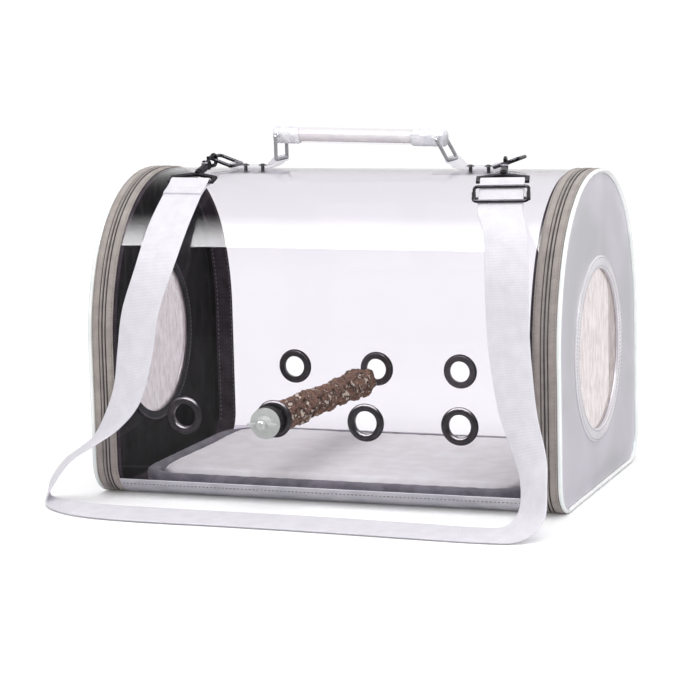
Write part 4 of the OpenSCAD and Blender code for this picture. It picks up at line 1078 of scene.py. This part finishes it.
# each sleeve from its closed outer end to its mouth, and where its crumples start
sleeves = {"left": (-over, handle["leftSleeve"] - over, 3.1),
           "right": (span + over, span + over - handle["rightSleeve"], 8.4)}
for name, (closed, mouth, seed) in sleeves.items():
    rings = handle["sleeveRings"]
    tuck = {0: 0.9, 1: 0.25, rings - 1: 0.25, rings: 0.9}  # mm, rounding each end
    wall = [(closed + (mouth - closed) * k / rings, handle["sleeve"] - tuck.get(k, 0))
            for k in range(rings + 1)]
    sleeve = gripBar(name + "_grip_sleeve", [(closed, handle["closed"]), *wall,
                                             (mouth, handle["mouth"])], handle["sleeveSides"])
    closeEnds(sleeve)
    shaped(sleeve, 60)
    for vertex in sleeve.data.vertices:  # crumples run across and along
        p = vertex.co / mm
        r = hypot(p.y, p.z)
        if r > 5.5:
            a = atan2(p.z, p.y)
            crumple = wander(p.x / 3.2 + seed, 2.2 * cos(a), 2.2 * sin(a))
            crumple += 0.5 * wander(p.x / 1.6, 4 * cos(a) + seed, 4 * sin(a))
            factor = (r - handle["crumple"] * abs(crumple) - 0.1) / r
            vertex.co.y *= factor
            vertex.co.z *= factor
    sleeve.data.transform(gripFrame)
    settle(sleeve, paint["silverSleeveFilm"], "grip", "door_sheet", "grip_sleeves")
print("handle fitted")

# perch: a knobbly branch, thicker at its ends, sinking a little towards the back
perch = {"x": -43.5, "z": 74, "front": -131.95, "length": 243, "radius": 13, "startRadius": 12, "sag": 6,
         "sway": 1.6, "rings": 150, "sides": 72, "edge": 0.14, "edgeMm": 2.5, "flare": 0.06,
         "rough": 1.1, "pit": 1.5}
angles = [2 * pi * k / perch["sides"] for k in range(perch["sides"])]
branch = loopStart("perch_wood", [
    Vector((perch["x"] + perch["startRadius"] * cos(a), perch["front"],
            perch["z"] + perch["startRadius"] * sin(a))) * mm for a in angles])
sweep(branch, [("run", (0, perch["length"] * mm, 0), perch["rings"])])
closeEnds(branch)
shaped(branch, 60)
for vertex in branch.data.vertices:
    p = vertex.co / mm
    u = (p.y - perch["front"]) / perch["length"]
    a = atan2(p.z - perch["z"], p.x - perch["x"])
    knob = (1 + 0.10 * sin(3 * a + rad(900 * u)) * sin(rad(1700 * u + 40))
            + 0.07 * sin(5 * a - rad(1300 * u)) + 0.05 * cos(2 * a + rad(2300 * u)))
    inside = softStep(min(u, 1 - u) * perch["length"] / perch["edgeMm"])
    edge = 1 - perch["edge"] + perch["edge"] * inside
    spin = Vector((1.5 * cos(a), p.y / 13, 1.5 * sin(a)))
    rough = noise.noise(spin * 1.7) + 0.8 * noise.noise(spin * 4.1) + 0.6 * noise.noise(spin * 8.3)
    pits = softStep((0.36 - noise.voronoi(spin * 1.9)[0][0]) / 0.22)
    r = (perch["radius"] * edge * knob * (1 + perch["flare"] * cos(rad(360 * u))) - 0.9
         + perch["rough"] * rough - perch["pit"] * pits * edge)
    vertex.co = Vector((perch["x"] + r * cos(a) + perch["sway"] * sin(rad(250 * u)), p.y,
                        perch["z"] + r * sin(a) - perch["sag"] * u ** 1.5)) * mm
settle(branch, branchWood, "carrier", "perch_wood", "perch_branch")
print("perch carved")

# mat: plush top, filled by pressure, and a rolled dark edge round it
mat = {"length": 347, "width": 214, "corner": 32.5, "low": 4.1, "high": 12.4, "voxel": 5, "pressure": 4,
       "frames": 20, "cap": 1.6, "filled": 2.6, "crown": 6.5, "crownReach": 13, "top": 21.6,
       "lumps": ((0.55, 9, 1.3), (0.25, 3.5, 4)), "squareness": 0.8,
       "edgeWidth": 11.5, "edgeLow": 6.5, "edgeHigh": 19.2, "edgeSides": 16, "edgeStep": 5}
halfLong, halfDeep, matCorner = mat["length"] / 2, mat["width"] / 2, mat["corner"]


def roundedPlan(length, width, corner, steps=10):  # points round a mat-shaped outline, in mm
    found = []
    for sx, sy, turn in ((1, -1, -90), (1, 1, 0), (-1, 1, 90), (-1, -1, 180)):
        cx, cy = sx * (length / 2 - corner), sy * (width / 2 - corner)
        found += [Vector((cx + corner * cos(rad(turn + 90 * k / steps)),
                          cy + corner * sin(rad(turn + 90 * k / steps)), 0))
                  for k in range(steps + 1)]
    return found


plan = roundedPlan(mat["length"] - 2, mat["width"] - 2, matCorner)
plush = loopStart("mat_plush_pad", [(p + Vector((0, 0, mat["low"] + 0.4))) * mm for p in plan])
editing(plush)
bpy.ops.mesh.edge_face_add()
bpy.ops.mesh.extrude_region_move(
    TRANSFORM_OT_translate={"value": (0, 0, (mat["high"] - mat["low"] - 1.2) * mm)})
setMode(mode="OBJECT")
shaped(plush, 60, same)
applyModifier(plush, "REMESH", mode="VOXEL", voxel_size=mat["voxel"] * mm)
before = [v.co.copy() for v in plush.data.vertices]
cloth = plush.modifiers.new("fill", "CLOTH")
cloth.settings.use_pressure = True
cloth.settings.uniform_pressure_force = mat["pressure"]
cloth.settings.effector_weights.gravity = 0
for frameNumber in range(1, mat["frames"] + 1):
    bpy.context.scene.frame_set(frameNumber)
pick(plush)
bpy.ops.object.modifier_apply(modifier=cloth.name)
bpy.context.scene.frame_set(1)
for vertex, old in zip(plush.data.vertices, before):
    move = vertex.co - old
    if move.length > mat["cap"] * mm:
        vertex.co = old + move.normalized() * mat["cap"] * mm
applyModifier(plush, "SUBSURF", levels=1, render_levels=1)
for vertex in plush.data.vertices:
    p = vertex.co / mm
    reachX, reachY = abs(p.x) - (halfLong - matCorner), abs(p.y) - (halfDeep - matCorner)
    if reachX > 0 and reachY > 0 and hypot(reachX, reachY) > matCorner:
        shrink = matCorner / hypot(reachX, reachY)
        p.x = copysign(abs(p.x) - reachX * (1 - shrink), p.x)
        p.y = copysign(abs(p.y) - reachY * (1 - shrink), p.y)
    p.x = min(max(p.x, -halfLong), halfLong)
    p.y = min(max(p.y, -halfDeep), halfDeep)
    if p.z > mat["low"] + 2:  # filled out towards the middle
        gap = min(halfLong - abs(p.x), halfDeep - abs(p.y))
        p.z += mat["filled"] + mat["crown"] * softStep(gap / mat["crownReach"])
    p.z += sum(size * wander(p.x / gap, p.y / gap, seed) for size, gap, seed in mat["lumps"])
    vertex.co = Vector((p.x, p.y, min(max(p.z, mat["low"]), mat["top"]))) * mm
shaped(plush, 80, same)
settle(plush, paint["whitePlush"], "mat", "plush", "mat_plush")

inner, sides = mat["edgeWidth"] / 2, mat["edgeSides"]
centreLine = roundedPlan(mat["length"] + mat["edgeWidth"] - 0.1, mat["width"] + mat["edgeWidth"] - 0.1,
                         matCorner + inner, 12)
halfHigh = (mat["edgeHigh"] - mat["edgeLow"]) / 2
midHigh = (mat["edgeHigh"] + mat["edgeLow"]) / 2
dense = []
for a, b in zip(centreLine, centreLine[1:] + centreLine[:1]):
    pieces = max(1, round((b - a).length / mat["edgeStep"]))
    dense += [a + (b - a) * k / pieces for k in range(pieces)]


def squared(value):
    return copysign(abs(value) ** mat["squareness"], value)


verts, faces = [], []
for i, p in enumerate(dense):
    t = (dense[(i + 1) % len(dense)] - dense[i - 1]).normalized()
    out = Vector((t.y, -t.x, 0))
    pucker = 1 - 0.05 * (0.5 + 0.5 * sin(i * 1.9)) - 0.06 * abs(noise.noise(p / 12))
    j = (i + 1) % len(dense)
    for k in range(sides):
        a, m = 2 * pi * k / sides, (k + 1) % sides
        w = squared(cos(a)) * (inner - 0.1)
        h = squared(sin(a)) * halfHigh * pucker
        verts.append((p + out * w + Vector((0, 0, midHigh + h))) * mm)
        faces.append((i * sides + k, i * sides + m, j * sides + m, j * sides + k))
edgeRoll = shaped(fromPoints("mat_edge_roll", verts, faces), 70, same)
settle(edgeRoll, paint["greyPlushEdging"], "mat", "mat_edge", "mat_binding")
print("mat laid")

# box of stitches that holds each sewn end
boxes = {"left": (-11.5, -18.5, 1.5), "right": (-43.5, -50.0, 1.45)}  # from, to and height in mm
for side, (near, far, height) in boxes.items():
    local = strapFrames[side]
    turn = local.to_3x3()
    inset = halfWide - webbing["stitchInset"]
    corners = [Vector((x, y, height))
               for x, y in ((-inset, near), (inset, near), (inset, far), (-inset, far))]
    places = []
    for a, b in zip(corners, corners[1:] + corners[:1]):
        count = max(2, round((b - a).length / webbing["stitchPitch"]))
        places += [(local @ (a + (b - a) * (k + 0.5) / count), (turn @ (b - a)).normalized(),
                    (turn @ Vector((0, 0, 1))).normalized()) for k in range(count)]
    settle(stitchRow(side + "_strap_stitches", places, *webbing["stitch"]), paint["polyesterThread"],
           side + "_loop", "webbing")


def pair(*names):
    return [side + "_" + name for name in names for side in ("left", "right")]


# nodes that keep their shape from the CAD
finishes = {
    "gunmetalEyelet": ["front_eyelets", "back_eyelets"],
    "zipSliderNickel": ["tab_rivets", *pair("zip_slider", "zip_pull")],
    "nickelWire": pair("link"),
    "blackNickelZinc": ["strap_slider", *pair("d_ring", "hook", "gate", "loop")],
    "zincPlatedSteel": ["perch_bolt", "zinc_washer", "wing_nut"],
    "mouldedRubber": ["rubber_washer"],
    "hardBoard": ["mat_board"],
    "clearVinylTab": ["tab_patches", *pair("tab")],
}
for material, names in finishes.items():
    for name in names:
        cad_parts[name].data.materials.clear()
        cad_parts[name].data.materials.append(paint[material])
print("metal finished")
